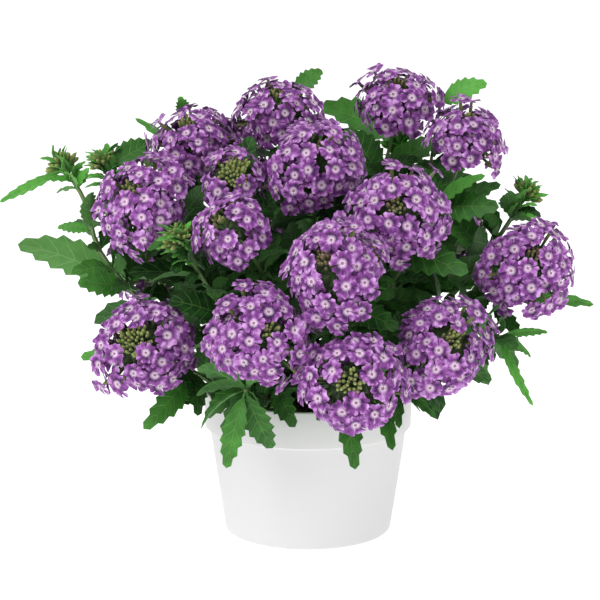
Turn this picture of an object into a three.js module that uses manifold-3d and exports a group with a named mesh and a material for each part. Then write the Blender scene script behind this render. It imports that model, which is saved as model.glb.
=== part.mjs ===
// A potted verbena: a white nursery pot filled with soil, from which leafy square stems carry round heads
// of five-petalled purple flowers. Millimetres, +Z up, origin at the centre of the pot's base, and the
// side that is seen first faces -Y.
import * as THREE from 'three';
import { mergeVertices } from 'three/addons/utils/BufferGeometryUtils.js';
import Module from 'manifold-3d';

const wasm = await Module();
wasm.setup();

// Driving dimensions
const gap = 0.3; // left between pieces that touch
const pot = {
  height: 90,
  rimRadius: 65,
  collarHeight: 24,
  collarStep: 3.5,
  baseRadius: 52,
  wall: 1.8,
  floor: 2.4,
  edge: 1.2,
  sides: 20,
  drainHoles: 4,
  drainRadius: 4.5,
  drainRing: 34,
};
const soil = { top: 80, crown: 2.5, shoulder: 40, holeDepth: 14 };
const stem = { width: 2.8, steps: 5, holeClearance: 0.5 };
const leaf = { thickness: 0.7, seat: 0.04, roll: 40, arch: 0.1, fold: 0.2, shortest: 0.55 };

// A head's proportions, as shares of its spread, which is its radius to the petal tips.
const head = {
  floretSide: 0.88, // half width of the dome that the florets' throats lie on
  floretRise: 0.75, // its height
  floretRadius: 0.37,
  coreSide: 0.56,
  coreRise: 0.42,
  coreDepth: 0.3, // from the widest place down to the flat underside
  rings: [
    { count: 4, angle: 40 },
    { count: 4, angle: 78 },
    { count: 4, angle: 111 },
  ],
};
const buds = { radius: 3.2, spike: 9 };

// Places of the flower heads: centre, the way they face as a turn from -Y towards +X and a lift above
// the horizon in degrees, the spread, and where the stem stands in the soil.
const flowerHeads = [
  { name: 'top_left', at: [-18.5, 28, 255], turn: -10, lift: 62, spread: 27, foot: [-6, 8] },
  { name: 'top_centre', at: [4, -22, 231.5], turn: 0, lift: 38, spread: 30, foot: [3, -6] },
  { name: 'top_right_back', at: [56, 42, 260.5], turn: 15, lift: 65, spread: 27, foot: [14, 12] },
  { name: 'top_right', at: [97, 12, 242], turn: 35, lift: 68, spread: 26, foot: [24, 3] },
  { name: 'upper_left', at: [-70.5, 15, 238], turn: -30, lift: 66, spread: 27.5, foot: [-20, 6] },
  { name: 'inner_left', at: [-46, -36, 227], turn: 12, lift: 28, spread: 18, foot: [-14, -8] },
  { name: 'left', at: [-98, -40, 212], turn: -25, lift: 34, spread: 29, foot: [-28, -10] },
  { name: 'centre_left', at: [-45, -72, 200.5], turn: -35, lift: 35, spread: 23, foot: [-13, -20] },
  { name: 'centre', at: [15, -98, 181], turn: -20, lift: 34, spread: 31, foot: [5, -26] },
  { name: 'centre_right', at: [52.5, -58, 208], turn: -5, lift: 24, spread: 29.5, foot: [15, -15] },
  { name: 'right', at: [133, -25, 170], turn: 12, lift: 36, spread: 30, foot: [36, -7] },
  { name: 'low_left', at: [-98, -62, 129], turn: -12, lift: 25, spread: 30, foot: [-38, -24] },
  { name: 'low_centre_left', at: [-28, -112, 146.5], turn: 15, lift: 25, spread: 29.5, foot: [-9, -36] },
  { name: 'low_centre', at: [25, -118, 121], turn: -5, lift: 16, spread: 29, foot: [8, -46] },
  { name: 'low_right', at: [78, -84, 134.5], turn: 18, lift: 27, spread: 29, foot: [28, -31] },
  { name: 'back_high_left', at: [-52, 76, 222], turn: -150, lift: 50, spread: 28, foot: [-15, 20] },
  { name: 'back_high_right', at: [24, 88, 212], turn: 170, lift: 45, spread: 29, foot: [8, 25] },
  { name: 'back_right', at: [92, 78, 176], turn: 130, lift: 40, spread: 30, foot: [28, 22] },
  { name: 'back_low_left', at: [-96, 66, 158], turn: -125, lift: 30, spread: 30, foot: [-32, 22] },
  { name: 'back_low_mid', at: [-30, 118, 150], turn: -165, lift: 28, spread: 30, foot: [-8, 40] },
  { name: 'back_low_right', at: [48, 114, 138], turn: 160, lift: 25, spread: 30, foot: [18, 40] },
];

// Stems with no open head: the points they pass, and whether they end in a tuft of green buds.
const youngStems = [
  {
    name: 'far_left',
    foot: [-44, 2],
    via: [[-94, -18, 140], [-127, -24, 182], [-135, -20, 210]],
    tip: [-148, -12, 230],
    buds: true,
  },
  {
    name: 'far_right',
    foot: [42, 10],
    via: [[92, 6, 150], [118, 6, 184]],
    tip: [134, 10, 208.5],
    buds: true,
  },
  { name: 'lower_right', foot: [48, -18], via: [[74, -34, 112]], tip: [116, -36, 131], buds: false },
  { name: 'front_left', foot: [-26, -42], via: [[-33, -66, 112]], tip: [-37, -92, 110], buds: false },
  { name: 'inner', foot: [-28, -28], via: [[-52, -50, 150]], tip: [-76, -66, 194], buds: true },
  { name: 'back_left', foot: [-46, 14], via: [[-98, 28, 158]], tip: [-128, 34, 224], buds: true },
  { name: 'back', foot: [34, 36], via: [[60, 68, 150]], tip: [60, 92, 234], buds: true },
  { name: 'high_left', foot: [-20, 26], via: [[-48, 50, 160]], tip: [-78, 42, 258], buds: false },
  { name: 'high_middle', foot: [-2, 20], via: [[-6, 56, 170]], tip: [-11, 57, 268], buds: false },
  { name: 'high_right', foot: [32, 18], via: [[66, 46, 162]], tip: [84, 56, 262], buds: false },
];

// Leaves: the stem that each grows on, at which of its joints, where its tip points and its width.
const leaves = [
  { on: 'far_left', joint: 3, tip: [-176, -24, 185], width: 28, roll: 70 },
  { on: 'far_left', joint: 3, tip: [-139, -36, 163.5], width: 17, roll: 70 },
  { on: 'far_left', joint: 5, tip: [-187, -20, 210], width: 7, roll: 70 },
  { on: 'far_left', joint: 4, tip: [-152, -22, 195], width: 8, roll: -60 },
  { on: 'far_left', joint: 4, tip: [-132, -32, 218], width: 14, roll: -60 },
  { on: 'far_left', joint: 3, tip: [-116, 20, 190], width: 20 },
  { on: 'low_left', joint: 4, tip: [-140, -40, 116], width: 15, roll: -60 },
  { on: 'low_left', joint: 3, tip: [-98, -72, 82], width: 18, roll: 60 },
  { on: 'low_left', joint: 3, tip: [-66, -64, 88], width: 14, roll: 10 },
  { on: 'front_left', joint: 5, tip: [-48, -101, 66], width: 15, roll: 10 },
  { on: 'front_left', joint: 5, tip: [-26, -103, 76], width: 18, roll: 10 },
  { on: 'front_left', joint: 3, tip: [-61, -80, 91], width: 15, roll: -40 },
  { on: 'low_centre_left', joint: 2, tip: [-8, -94, 89], width: 17, roll: -40 },
  { on: 'low_centre', joint: 3, tip: [27, -109, 67.5], width: 16, roll: 10 },
  { on: 'low_right', joint: 2, tip: [49, -97, 75.7], width: 14, roll: 10 },
  { on: 'low_right', joint: 3, tip: [75, -84, 92], width: 9, roll: 60 },
  { on: 'low_right', joint: 3, tip: [62, -92, 88], width: 11, roll: 10 },
  { on: 'low_right', joint: 4, tip: [110, -56, 108], width: 16, roll: -60 },
  { on: 'lower_right', joint: 5, tip: [135, -54, 91.5], width: 6.5, roll: 60 },
  { on: 'lower_right', joint: 5, tip: [145.8, -30, 131.7], width: 6, roll: -60 },
  { on: 'lower_right', joint: 5, tip: [135.6, -32, 116.6], width: 5, roll: -60 },
  { on: 'lower_right', joint: 5, tip: [122, -36, 143], width: 5, roll: 60 },
  { on: 'right', joint: 4, tip: [131, -20, 126.5], width: 12, roll: 60 },
  { on: 'right', joint: 4, tip: [110, -15, 129.7], width: 13, roll: 10 },
  { on: 'right', joint: 4, tip: [177, -2, 143], width: 11, roll: -60 },
  { on: 'far_right', joint: 4, tip: [106, -24, 186], width: 22, roll: 70 },
  { on: 'far_right', joint: 3, tip: [140, 34, 168], width: 20, roll: -50 },
  { on: 'top_right', joint: 4, tip: [116, -14, 206], width: 22, roll: 70 },
  { on: 'top_right', joint: 4, tip: [110, -8, 217], width: 14, roll: 70 },
  { on: 'top_right', joint: 4, tip: [120, -4, 226], width: 12, roll: 70 },
  { on: 'top_right', joint: 3, tip: [76, -24, 214], width: 20, roll: 140 },
  { on: 'top_right_back', joint: 4, tip: [23, 44, 246], width: 26, roll: 70 },
  { on: 'top_right_back', joint: 4, tip: [88, 66, 236], width: 20 },
  { on: 'top_left', joint: 4, tip: [10, 60, 246], width: 18, roll: 60 },
  { on: 'top_left', joint: 4, tip: [-50, 42, 224], width: 20, roll: 60 },
  { on: 'upper_left', joint: 4, tip: [-122, 24, 232], width: 20, roll: 60 },
  { on: 'left', joint: 4, tip: [-78, -72, 176], width: 18, roll: 10 },
  { on: 'left', joint: 3, tip: [-112, -6, 168], width: 20 },
  { on: 'centre_right', joint: 4, tip: [94, -68, 176], width: 23, roll: 60 },
  { on: 'centre_right', joint: 3, tip: [24, -56, 196], width: 20, roll: 60 },
  { on: 'centre', joint: 4, tip: [52, -96, 148], width: 18, roll: -60 },
  { on: 'centre', joint: 3, tip: [-18, -84, 160], width: 18, roll: -70 },
  { on: 'inner', joint: 3, tip: [-86, -48, 158], width: 20, roll: -60 },
  { on: 'top_centre', joint: 4, tip: [42, -20, 214], width: 20, roll: 60 },
  { on: 'top_centre', joint: 4, tip: [-12, -58, 197], width: 18, roll: 60 },
  { on: 'top_centre', joint: 3, tip: [-30, -34, 200], width: 20, roll: 60 },
  { on: 'back_left', joint: 3, tip: [-142, 36, 150], width: 22 },
  { on: 'back_left', joint: 4, tip: [-112, 70, 200], width: 20 },
  { on: 'back_left', joint: 5, tip: [-98, 46, 238], width: 18, roll: 60 },
  { on: 'high_left', joint: 4, tip: [-108, 38, 253], width: 8, roll: 60 },
  { on: 'high_left', joint: 5, tip: [-80, 34, 268], width: 10, roll: 150 },
  { on: 'high_middle', joint: 5, tip: [6.3, 45, 281.7], width: 14, roll: 60 },
  { on: 'high_right', joint: 5, tip: [112.5, 46, 275.3], width: 18, roll: 60 },
  { on: 'back', joint: 5, tip: [8, 70, 258], width: 28, roll: 60 },
  { on: 'back', joint: 4, tip: [104, 92, 218], width: 20 },
  { on: 'back', joint: 3, tip: [58, 110, 178], width: 22 },
  { on: 'back_right', joint: 3, tip: [126, 50, 150], width: 22 },
  { on: 'back_right', joint: 2, tip: [98, 70, 112], width: 20 },
  { on: 'back_low_right', joint: 3, tip: [66, 104, 88], width: 20, roll: 60 },
  { on: 'back_low_mid', joint: 3, tip: [-16, 110, 94], width: 20, roll: 60 },
  { on: 'back_low_mid', joint: 4, tip: [4, 112, 176], width: 20 },
  { on: 'back_low_left', joint: 3, tip: [-120, 78, 106], width: 20, roll: 60 },
  { on: 'back_low_left', joint: 4, tip: [-60, 106, 176], width: 20 },
  { on: 'back_high_left', joint: 4, tip: [-98, 74, 206], width: 20 },
  { on: 'back_high_right', joint: 4, tip: [-14, 108, 196], width: 20 },
];

const degrees = Math.PI / 180;
const up = new THREE.Vector3(0, 0, 1);

// Pseudo-random numbers from a fixed seed, so that every run places everything alike.
function drawFrom(seed) {
  let state = seed;
  return (low, high) => {
    state = (state * 16807) % 2147483647;
    return low + ((high - low) * state) / 2147483647;
  };
}

// Closed solids
function solid(geometry) {
  const bare = geometry.clone();
  bare.deleteAttribute('normal');
  bare.deleteAttribute('uv');
  const merged = mergeVertices(bare, 1e-4);
  const corners = merged.index.array;
  const triangles = [];
  for (let i = 0; i < corners.length; i += 3) {
    const [a, b, c] = corners.slice(i, i + 3);
    if (a !== b && b !== c && c !== a) {
      triangles.push(a, b, c);
    }
  }
  return new wasm.Manifold(new wasm.Mesh({
    numProp: 3,
    vertProperties: new Float32Array(merged.attributes.position.array),
    triVerts: new Uint32Array(triangles),
  }));
}

function facets(points, triangles) {
  const geometry = new THREE.BufferGeometry().setFromPoints(points);
  geometry.setIndex(triangles.flat());
  return geometry;
}

function joined(solids) {
  return solids.reduce((whole, next) => whole.add(next));
}

function piece(name, manifold, material) {
  const { vertProperties, triVerts } = manifold.getMesh();
  const geometry = new THREE.BufferGeometry();
  geometry.setAttribute('position', new THREE.BufferAttribute(vertProperties, 3));
  geometry.setIndex(new THREE.BufferAttribute(triVerts, 1));
  geometry.computeVertexNormals();
  const mesh = new THREE.Mesh(geometry, material);
  mesh.name = name;
  return mesh;
}

function lathe(profile, sides) {
  const geometry = new THREE.LatheGeometry(profile.map(([r, z]) => new THREE.Vector2(r, z)), sides);
  return geometry.rotateX(Math.PI / 2);
}

// Pot and soil
const collarBottom = pot.height - pot.collarHeight;
const neckRadius = pot.rimRadius - pot.collarStep;

function potSolid() {
  const inside = pot.wall;
  const profile = [
    [0, 0],
    [pot.baseRadius - pot.edge, 0],
    [pot.baseRadius, pot.edge],
    [neckRadius, collarBottom],
    [pot.rimRadius - pot.edge / 2, collarBottom + pot.edge],
    [pot.rimRadius, pot.height - pot.edge / 2],
    [pot.rimRadius - pot.edge / 2, pot.height],
    [pot.rimRadius - inside, pot.height],
    [pot.rimRadius - inside, collarBottom + inside],
    [neckRadius - inside, collarBottom],
    [pot.baseRadius - inside, pot.floor],
    [0, pot.floor],
  ];
  let body = solid(lathe(profile, pot.sides));
  for (let i = 0; i < pot.drainHoles; i++) {
    const angle = (i / pot.drainHoles) * 2 * Math.PI;
    const hole = new THREE.CylinderGeometry(pot.drainRadius, pot.drainRadius, pot.floor * 3, 6);
    hole.rotateX(Math.PI / 2);
    hole.translate(pot.drainRing * Math.cos(angle), pot.drainRing * Math.sin(angle), 0);
    body = body.subtract(solid(hole));
  }
  return body;
}

function soilSolid(holes) {
  const shrink = pot.wall + gap;
  const profile = [
    [0, pot.floor + gap],
    [pot.baseRadius - shrink, pot.floor + gap],
    [neckRadius - shrink, collarBottom + gap],
    [pot.rimRadius - shrink, collarBottom + pot.wall + 2 * gap],
    [pot.rimRadius - shrink, soil.top - soil.crown],
    [soil.shoulder, soil.top],
    [0, soil.top],
  ];
  return holes.reduce((bed, hole) => bed.subtract(hole), solid(lathe(profile, pot.sides)));
}

// Flower heads, in a frame of their own: the widest place lies in the plane z = 0 and the head faces +Z.
function floretGeometry(radius, reach) {
  const polar = (angle, r, z) => new THREE.Vector3(
    r * Math.cos(angle * degrees), r * Math.sin(angle * degrees), z);
  const points = [new THREE.Vector3(0, 0, -0.16 * radius)];
  for (let petal = 0; petal < 5; petal++) {
    const middle = petal * 72;
    points.push(polar(middle - 36, 0.5 * radius, 0));
    points.push(polar(middle - 20, radius, 0.06 * radius));
    points.push(polar(middle + 20, radius, 0.06 * radius));
  }
  for (let side = 0; side < 3; side++) {
    points.push(polar(side * 120 + 24, 0.16 * radius, -0.5 * radius));
  }
  points.push(new THREE.Vector3(0, 0, -reach));
  const rim = (i) => 1 + (i % 15);
  const tube = (i) => 16 + (i % 3);
  const triangles = [];
  for (let i = 0; i < 15; i++) {
    triangles.push([0, rim(i), rim(i + 1)]);
    triangles.push([rim(i + 1), rim(i), tube(Math.floor(i / 5))]);
  }
  for (let side = 0; side < 3; side++) {
    triangles.push([rim(5 * side), tube(side + 2), tube(side)]);
    triangles.push([tube(side + 1), tube(side), 19]);
  }
  return facets(points, triangles);
}

function coreSolid(spread) {
  const side = head.coreSide * spread;
  const rise = head.coreRise * spread;
  const depth = head.coreDepth * spread;
  const profile = [
    [0, -depth],
    [0.5 * side, -depth],
    [side, -0.2 * depth],
    [0.72 * side, 0.68 * rise],
    [0, 1.6 * rise],
  ];
  return solid(lathe(profile, 6));
}

// Where each floret of a head sits: its throat, the way it faces, its own turn and its radius.
function floretPlaces(spread, seed) {
  const draw = drawFrom(seed);
  const side = head.floretSide * spread;
  const rise = head.floretRise * spread;
  const start = draw(0, 360);
  const places = [];
  head.rings.forEach((ring, level) => {
    for (let i = 0; i < ring.count; i++) {
      const around = (start + ((i + 0.5 * level) * 360) / ring.count + draw(-5, 5)) * degrees;
      const down = (ring.angle + draw(-3, 3)) * degrees;
      const swell = draw(0.97, 1.03);
      const at = new THREE.Vector3(
        swell * side * Math.sin(down) * Math.cos(around),
        swell * side * Math.sin(down) * Math.sin(around),
        swell * rise * Math.cos(down));
      const faces = new THREE.Vector3(
        at.x / (side * side), at.y / (side * side), at.z / (rise * rise)).normalize();
      places.push({ at, faces, spin: draw(0, 72), radius: head.floretRadius * spread * draw(0.94, 1.06) });
    }
  });
  return places;
}

function headSolid(spread, seed) {
  const parts = [coreSolid(spread)];
  for (const place of floretPlaces(spread, seed)) {
    const geometry = floretGeometry(place.radius, 0.62 * place.at.length());
    geometry.rotateZ(place.spin * degrees);
    geometry.applyQuaternion(new THREE.Quaternion().setFromUnitVectors(up, place.faces));
    geometry.translate(place.at.x, place.at.y, place.at.z);
    parts.push(solid(geometry));
  }
  return joined(parts);
}

function facing(turn, lift) {
  const flat = Math.cos(lift * degrees);
  return new THREE.Vector3(
    Math.sin(turn * degrees) * flat, -Math.cos(turn * degrees) * flat, Math.sin(lift * degrees));
}

// Stems
function headStemPath({ at, turn, lift, spread, foot }) {
  const axis = facing(turn, lift);
  const start = new THREE.Vector3(foot[0], foot[1], soil.top - soil.holeDepth);
  const end = new THREE.Vector3(...at).addScaledVector(axis, -head.coreDepth * spread - gap);
  const length = start.distanceTo(end);
  const rising = start.clone().add(new THREE.Vector3(0.1 * foot[0], 0.1 * foot[1], 0.42 * length));
  const arriving = end.clone().addScaledVector(axis, -0.3 * length);
  return new THREE.CubicBezierCurve3(start, rising, arriving, end);
}

function youngStemPath({ foot, via, tip }) {
  const start = new THREE.Vector3(foot[0], foot[1], soil.top - soil.holeDepth);
  const above = new THREE.Vector3(foot[0], foot[1], soil.top + soil.holeDepth);
  const points = [start, above, ...via.map((p) => new THREE.Vector3(...p)), new THREE.Vector3(...tip)];
  return new THREE.CatmullRomCurve3(points, false, 'centripetal');
}

function stemSolid(path, width) {
  const section = new THREE.Shape([90, 210, 330].map((angle) => new THREE.Vector2(
    0.6 * width * Math.cos(angle * degrees), 0.6 * width * Math.sin(angle * degrees))));
  return solid(new THREE.ExtrudeGeometry(section, { steps: stem.steps, extrudePath: path }));
}

// Leaves: a blade runs from its root to its tip, bowed upward, folded along the midrib and toothed.
const toothedEdge = [
  [0.35, 0.42],
  [0.41, 0.32],
  [0.64, 0.5],
  [0.71, 0.27],
];
const midrib = [0.4, 0.7];

// The roll turns the upper face from the sky towards the outside of the plant.
function bladeFrame(root, tip, roll) {
  const along = tip.clone().sub(root);
  const length = along.length();
  along.normalize();
  const outward = new THREE.Vector3(root.x, root.y, 0).normalize();
  const reference = Math.abs(along.z) > 0.85 ? outward : up;
  const across = along.clone().cross(reference).normalize();
  const side = across.dot(outward) < 0 ? 1 : -1;
  across.applyAxisAngle(along, side * roll * degrees);
  const above = across.clone().cross(along);
  return { root, along, across, above, length };
}

function bladePoint(frame, t, side) {
  const bow = leaf.arch * frame.length * 4 * t * (1 - t) + leaf.fold * Math.abs(side);
  return frame.root.clone()
    .addScaledVector(frame.along, t * frame.length)
    .addScaledVector(frame.across, side)
    .addScaledVector(frame.above, bow);
}

function bladeSolid(frame, width) {
  const edge = (sign) => toothedEdge.map(([t, w]) => bladePoint(frame, t, sign * w * width));
  const face = [
    bladePoint(frame, 0, 0),
    ...edge(-1),
    bladePoint(frame, 1, 0),
    ...edge(1).reverse(),
    ...midrib.map((t) => bladePoint(frame, t, 0)),
  ];
  const rimCount = 2 * toothedEdge.length + 2;
  const [root, tip, near, far] = [0, 5, rimCount, rimCount + 1];
  const half = ([a, b, c, d]) => [
    [root, near, a],
    [a, near, b],
    [b, near, far],
    [b, far, c],
    [c, far, d],
    [d, far, tip],
  ];
  const above = [
    ...half([1, 2, 3, 4]),
    ...half([9, 8, 7, 6]).map(([a, b, c]) => [a, c, b]),
  ];
  const under = face.length;
  const below = above.map(([a, b, c]) => [a + under, c + under, b + under]);
  const walls = [];
  for (let a = 0; a < rimCount; a++) {
    const b = (a + 1) % rimCount;
    walls.push([a, b, b + under], [a, b + under, a + under]);
  }
  const sink = frame.above.clone().multiplyScalar(-leaf.thickness);
  const points = [...face, ...face.map((p) => p.clone().add(sink))];
  return solid(facets(points, [...above, ...below, ...walls]));
}

// Proxies that a leaf has to stay clear of: each head's ellipsoid, points along the stems, the pot, and
// the points already taken by other leaves.
function headHolds(shape, point) {
  const axis = facing(shape.turn, shape.lift);
  const offset = point.clone().sub(new THREE.Vector3(...shape.at));
  const rise = offset.dot(axis);
  const side = Math.sqrt(Math.max(0, offset.lengthSq() - rise * rise));
  const height = rise > 0 ? 0.86 * shape.spread : 0.62 * shape.spread;
  return (side / (1.12 * shape.spread)) ** 2 + (rise / height) ** 2 < 1;
}

function inPot(point) {
  return point.z < pot.height + 2 && Math.hypot(point.x, point.y) < pot.rimRadius + 3;
}

function bladeSamples(frame, width) {
  const samples = [];
  for (let row = 1; row <= 8; row++) {
    const t = row / 8;
    const half = 0.52 * width * Math.sin(Math.PI * Math.min(1, 0.12 + 0.88 * t) ** 0.9);
    for (const share of [-1, -0.5, 0, 0.5, 1]) {
      samples.push(bladePoint(frame, t, share * half));
    }
  }
  return samples;
}

function isClear(samples, on, stemPoints, taken) {
  for (const [index, point] of samples.entries()) {
    if (inPot(point) || flowerHeads.some((shape) => headHolds(shape, point))) {
      return false;
    }
    for (const other of stemPoints) {
      if (other.on !== on && point.distanceTo(other.at) < 4) {
        return false;
      }
    }
    const nearRoot = index < 15;
    for (const other of taken) {
      if (!(nearRoot && other.on === on) && point.distanceTo(other.at) < 4.5) {
        return false;
      }
    }
  }
  return true;
}

// A leaf keeps its wanted tip if it can, and otherwise is swung and lifted step by step until it is clear.
const swings = [0, 12, -12, 24, -24, 38, -38, 54, -54, 75, -75, 100, -100, 130, -130];
const lifts = [0, 12, -12, 26, -26, 42, -42];

function bentClear(wanted, path, stemPoints, taken) {
  const spine = path.getSpacedPoints(stem.steps);
  const root = spine[wanted.joint].clone().lerp(spine[wanted.joint - 1], leaf.seat);
  const reach = new THREE.Vector3(...wanted.tip).sub(root);
  for (let size = 1; size >= leaf.shortest; size -= 0.15) {
    for (const lift of lifts) {
      for (const swing of swings) {
        const flat = Math.hypot(reach.x, reach.y);
        const turn = Math.atan2(reach.y, reach.x) + swing * degrees;
        const rise = Math.atan2(reach.z, flat) + lift * degrees;
        const length = size * reach.length();
        const tip = new THREE.Vector3(
          root.x + length * Math.cos(rise) * Math.cos(turn),
          root.y + length * Math.cos(rise) * Math.sin(turn),
          root.z + length * Math.sin(rise));
        const frame = bladeFrame(root, tip, wanted.roll ?? leaf.roll);
        const samples = bladeSamples(frame, size * wanted.width);
        if (isClear(samples, wanted.on, stemPoints, taken)) {
          return { frame, width: size * wanted.width, samples, bend: Math.abs(lift) + Math.abs(swing) };
        }
      }
    }
  }
  return null;
}

// A tuft of unopened buds at the end of a young stem: a small ball with a spike raised on every facet
function budTuft(path) {
  const ball = new THREE.IcosahedronGeometry(buds.radius, 0);
  const corners = ball.attributes.position;
  const points = [];
  const triangles = [];
  for (let i = 0; i < corners.count; i += 3) {
    const facet = [0, 1, 2].map((k) => new THREE.Vector3().fromBufferAttribute(corners, i + k));
    const middle = facet[0].clone().add(facet[1]).add(facet[2]).normalize();
    const length = buds.radius + buds.spike * Math.max(0.15, 0.6 + 0.4 * middle.z);
    const first = points.length;
    points.push(...facet, middle.multiplyScalar(length));
    for (const [a, b] of [[0, 1], [1, 2], [2, 0]]) {
      triangles.push([first + a, first + b, first + 3]);
    }
  }
  const tuft = facets(points, triangles);
  tuft.applyQuaternion(new THREE.Quaternion().setFromUnitVectors(up, path.getTangentAt(1)));
  const end = path.getPointAt(1);
  return solid(tuft.translate(end.x, end.y, end.z));
}

// Materials
const whitePlastic = new THREE.MeshStandardMaterial({ color: 0xf1f1ef, roughness: 0.45, metalness: 0 });
const darkSoil = new THREE.MeshStandardMaterial({ color: 0x33261c, roughness: 1, metalness: 0 });
const purplePetal = new THREE.MeshStandardMaterial({ color: 0x8f5aa5, roughness: 0.7, metalness: 0 });
const greenLeaf = new THREE.MeshStandardMaterial({ color: 0x3c6e3a, roughness: 0.6, metalness: 0 });

// The whole plant
const shoots = [
  ...flowerHeads.map((shape) => ({ name: shape.name, path: headStemPath(shape), budded: false })),
  ...youngStems.map((shape) => ({ name: shape.name, path: youngStemPath(shape), budded: shape.buds })),
];

function placeLeaves() {
  const stemPoints = shoots.flatMap(({ name, path }) => {
    const count = Math.ceil(path.getLength() / 4);
    return path.getSpacedPoints(count).map((at) => ({ on: name, at }));
  });
  const taken = [];
  const placed = [];
  for (const wanted of leaves) {
    const { path } = shoots.find(({ name }) => name === wanted.on);
    const blade = bentClear(wanted, path, stemPoints, taken);
    if (blade) {
      blade.samples.forEach((at) => taken.push({ on: wanted.on, at }));
      placed.push({ on: wanted.on, ...blade });
    }
  }
  return placed;
}

const plant = new THREE.Group();
const placedLeaves = placeLeaves();
const stemHoles = [];

shoots.forEach(({ name, path, budded }) => {
  const parts = [stemSolid(path, stem.width)];
  placedLeaves.filter(({ on }) => on === name).forEach(({ frame, width }) => {
    parts.push(bladeSolid(frame, width));
  });
  if (budded) {
    parts.push(budTuft(path));
  }
  plant.add(piece(`leafy_stem_${name}`, joined(parts), greenLeaf));
  stemHoles.push(stemSolid(path, stem.width + 2 * stem.holeClearance).translate([0, 0, -gap]));
});

flowerHeads.forEach((shape, index) => {
  const mesh = piece(`flower_head_${shape.name}`, headSolid(shape.spread, 100 + index), purplePetal);
  mesh.position.set(...shape.at);
  mesh.quaternion.setFromUnitVectors(up, facing(shape.turn, shape.lift));
  plant.add(mesh);
});

const holder = new THREE.Group();
holder.add(piece('pot', potSolid(), whitePlastic));
holder.add(piece('soil', soilSolid(stemHoles), darkSoil));

const pottedVerbena = new THREE.Group();
pottedVerbena.add(holder, plant);

export default pottedVerbena;
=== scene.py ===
import random
from math import acos, atan2, ceil, cos, hypot, pi, radians, remainder, sin, sqrt

import bmesh
import bpy
import numpy as np
from mathutils import Matrix, Vector


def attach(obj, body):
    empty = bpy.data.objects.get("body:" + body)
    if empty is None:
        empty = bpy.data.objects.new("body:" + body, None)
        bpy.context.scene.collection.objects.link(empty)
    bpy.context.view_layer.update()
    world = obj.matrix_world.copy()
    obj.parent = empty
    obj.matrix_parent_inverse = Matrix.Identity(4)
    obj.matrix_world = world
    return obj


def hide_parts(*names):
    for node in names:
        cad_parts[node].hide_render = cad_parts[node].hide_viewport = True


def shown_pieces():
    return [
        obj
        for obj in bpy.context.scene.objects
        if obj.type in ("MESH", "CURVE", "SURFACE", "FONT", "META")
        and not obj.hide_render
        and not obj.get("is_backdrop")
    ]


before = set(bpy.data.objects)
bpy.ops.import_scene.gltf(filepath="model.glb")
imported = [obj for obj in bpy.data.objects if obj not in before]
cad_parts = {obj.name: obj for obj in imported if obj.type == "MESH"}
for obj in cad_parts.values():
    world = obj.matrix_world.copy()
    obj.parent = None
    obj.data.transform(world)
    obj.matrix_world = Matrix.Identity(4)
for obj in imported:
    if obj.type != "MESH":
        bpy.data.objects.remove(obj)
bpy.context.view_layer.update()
print("Frame loaded:", len(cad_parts), "CAD nodes")

mm = 0.001
up = Vector((0, 0, 1))
bpy.ops.object.select_all(action="DESELECT")  # loading leaves the CAD nodes selected


# Small tools

def linear(hexColour):
    channels = [(hexColour >> shift & 255) / 255 for shift in (16, 8, 0)]
    return [c / 12.92 if c <= 0.04045 else ((c + 0.055) / 1.055) ** 2.4 for c in channels] + [1.0]


def pickOnly(obj):
    bpy.ops.object.select_all(action="DESELECT")
    obj.select_set(True)
    bpy.context.view_layer.objects.active = obj


def pickVerts(obj, test):  # in edit mode: selects the vertices that the test names, and nothing else
    mesh = bmesh.from_edit_mesh(obj.data)
    wanted = {v.index for v in mesh.verts if test(v)}
    bpy.ops.mesh.select_all(action="DESELECT")
    for v in mesh.verts:
        v.select = v.index in wanted
    mesh.select_flush(True)
    bmesh.update_edit_mesh(obj.data)


def editMode(obj):
    pickOnly(obj)
    bpy.ops.object.mode_set(mode="EDIT")
    bpy.ops.mesh.select_all(action="SELECT")


def objectMode():
    bpy.ops.object.mode_set(mode="OBJECT")


def closeMesh():  # turns every face outwards and leaves edit mode
    bpy.ops.mesh.select_all(action="SELECT")
    bpy.ops.mesh.normals_make_consistent(inside=False)
    objectMode()


def applyPlace():
    bpy.ops.object.transform_apply(location=True, rotation=True, scale=True)


def addModifier(obj, kind, **settings):
    pickOnly(obj)
    modifier = obj.modifiers.new(kind.title(), kind)
    for name, value in settings.items():
        setattr(modifier, name, value)
    bpy.ops.object.modifier_apply(modifier=modifier.name)


def smooth(obj, angle):
    pickOnly(obj)
    bpy.ops.object.shade_smooth_by_angle(angle=radians(angle))


def dress(obj, material, angle):  # gives it one finish, with edges that stay sharp past the angle in degrees
    obj.data.materials.clear()
    obj.data.materials.append(material)
    smooth(obj, angle)


def addCone(sides, footRadius, topRadius, length, middle):
    bpy.ops.mesh.primitive_cone_add(
        vertices=sides, radius1=footRadius, radius2=topRadius, depth=length, location=(0, 0, middle))
    applyPlace()
    return bpy.context.object


def addStrip(columns, rows, length):  # a flat grid from the origin along +Y, in edit mode
    bpy.ops.mesh.primitive_grid_add(
        x_subdivisions=columns, y_subdivisions=rows, size=length, location=(0, length / 2, 0))
    strip = bpy.context.object
    applyPlace()
    editMode(strip)
    return strip


def setUv(obj, rule):  # the rule turns a corner's place and its face's normal into a UV
    layer = obj.data.uv_layers.active or obj.data.uv_layers.new(name="UVMap")
    for face in obj.data.polygons:
        for loop in face.loop_indices:
            co = obj.data.vertices[obj.data.loops[loop].vertex_index].co
            layer.data[loop].uv = rule(co, face.normal)


def addObject(name, data):
    obj = bpy.data.objects.new(name, data)
    bpy.context.collection.objects.link(obj)
    return obj


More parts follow.
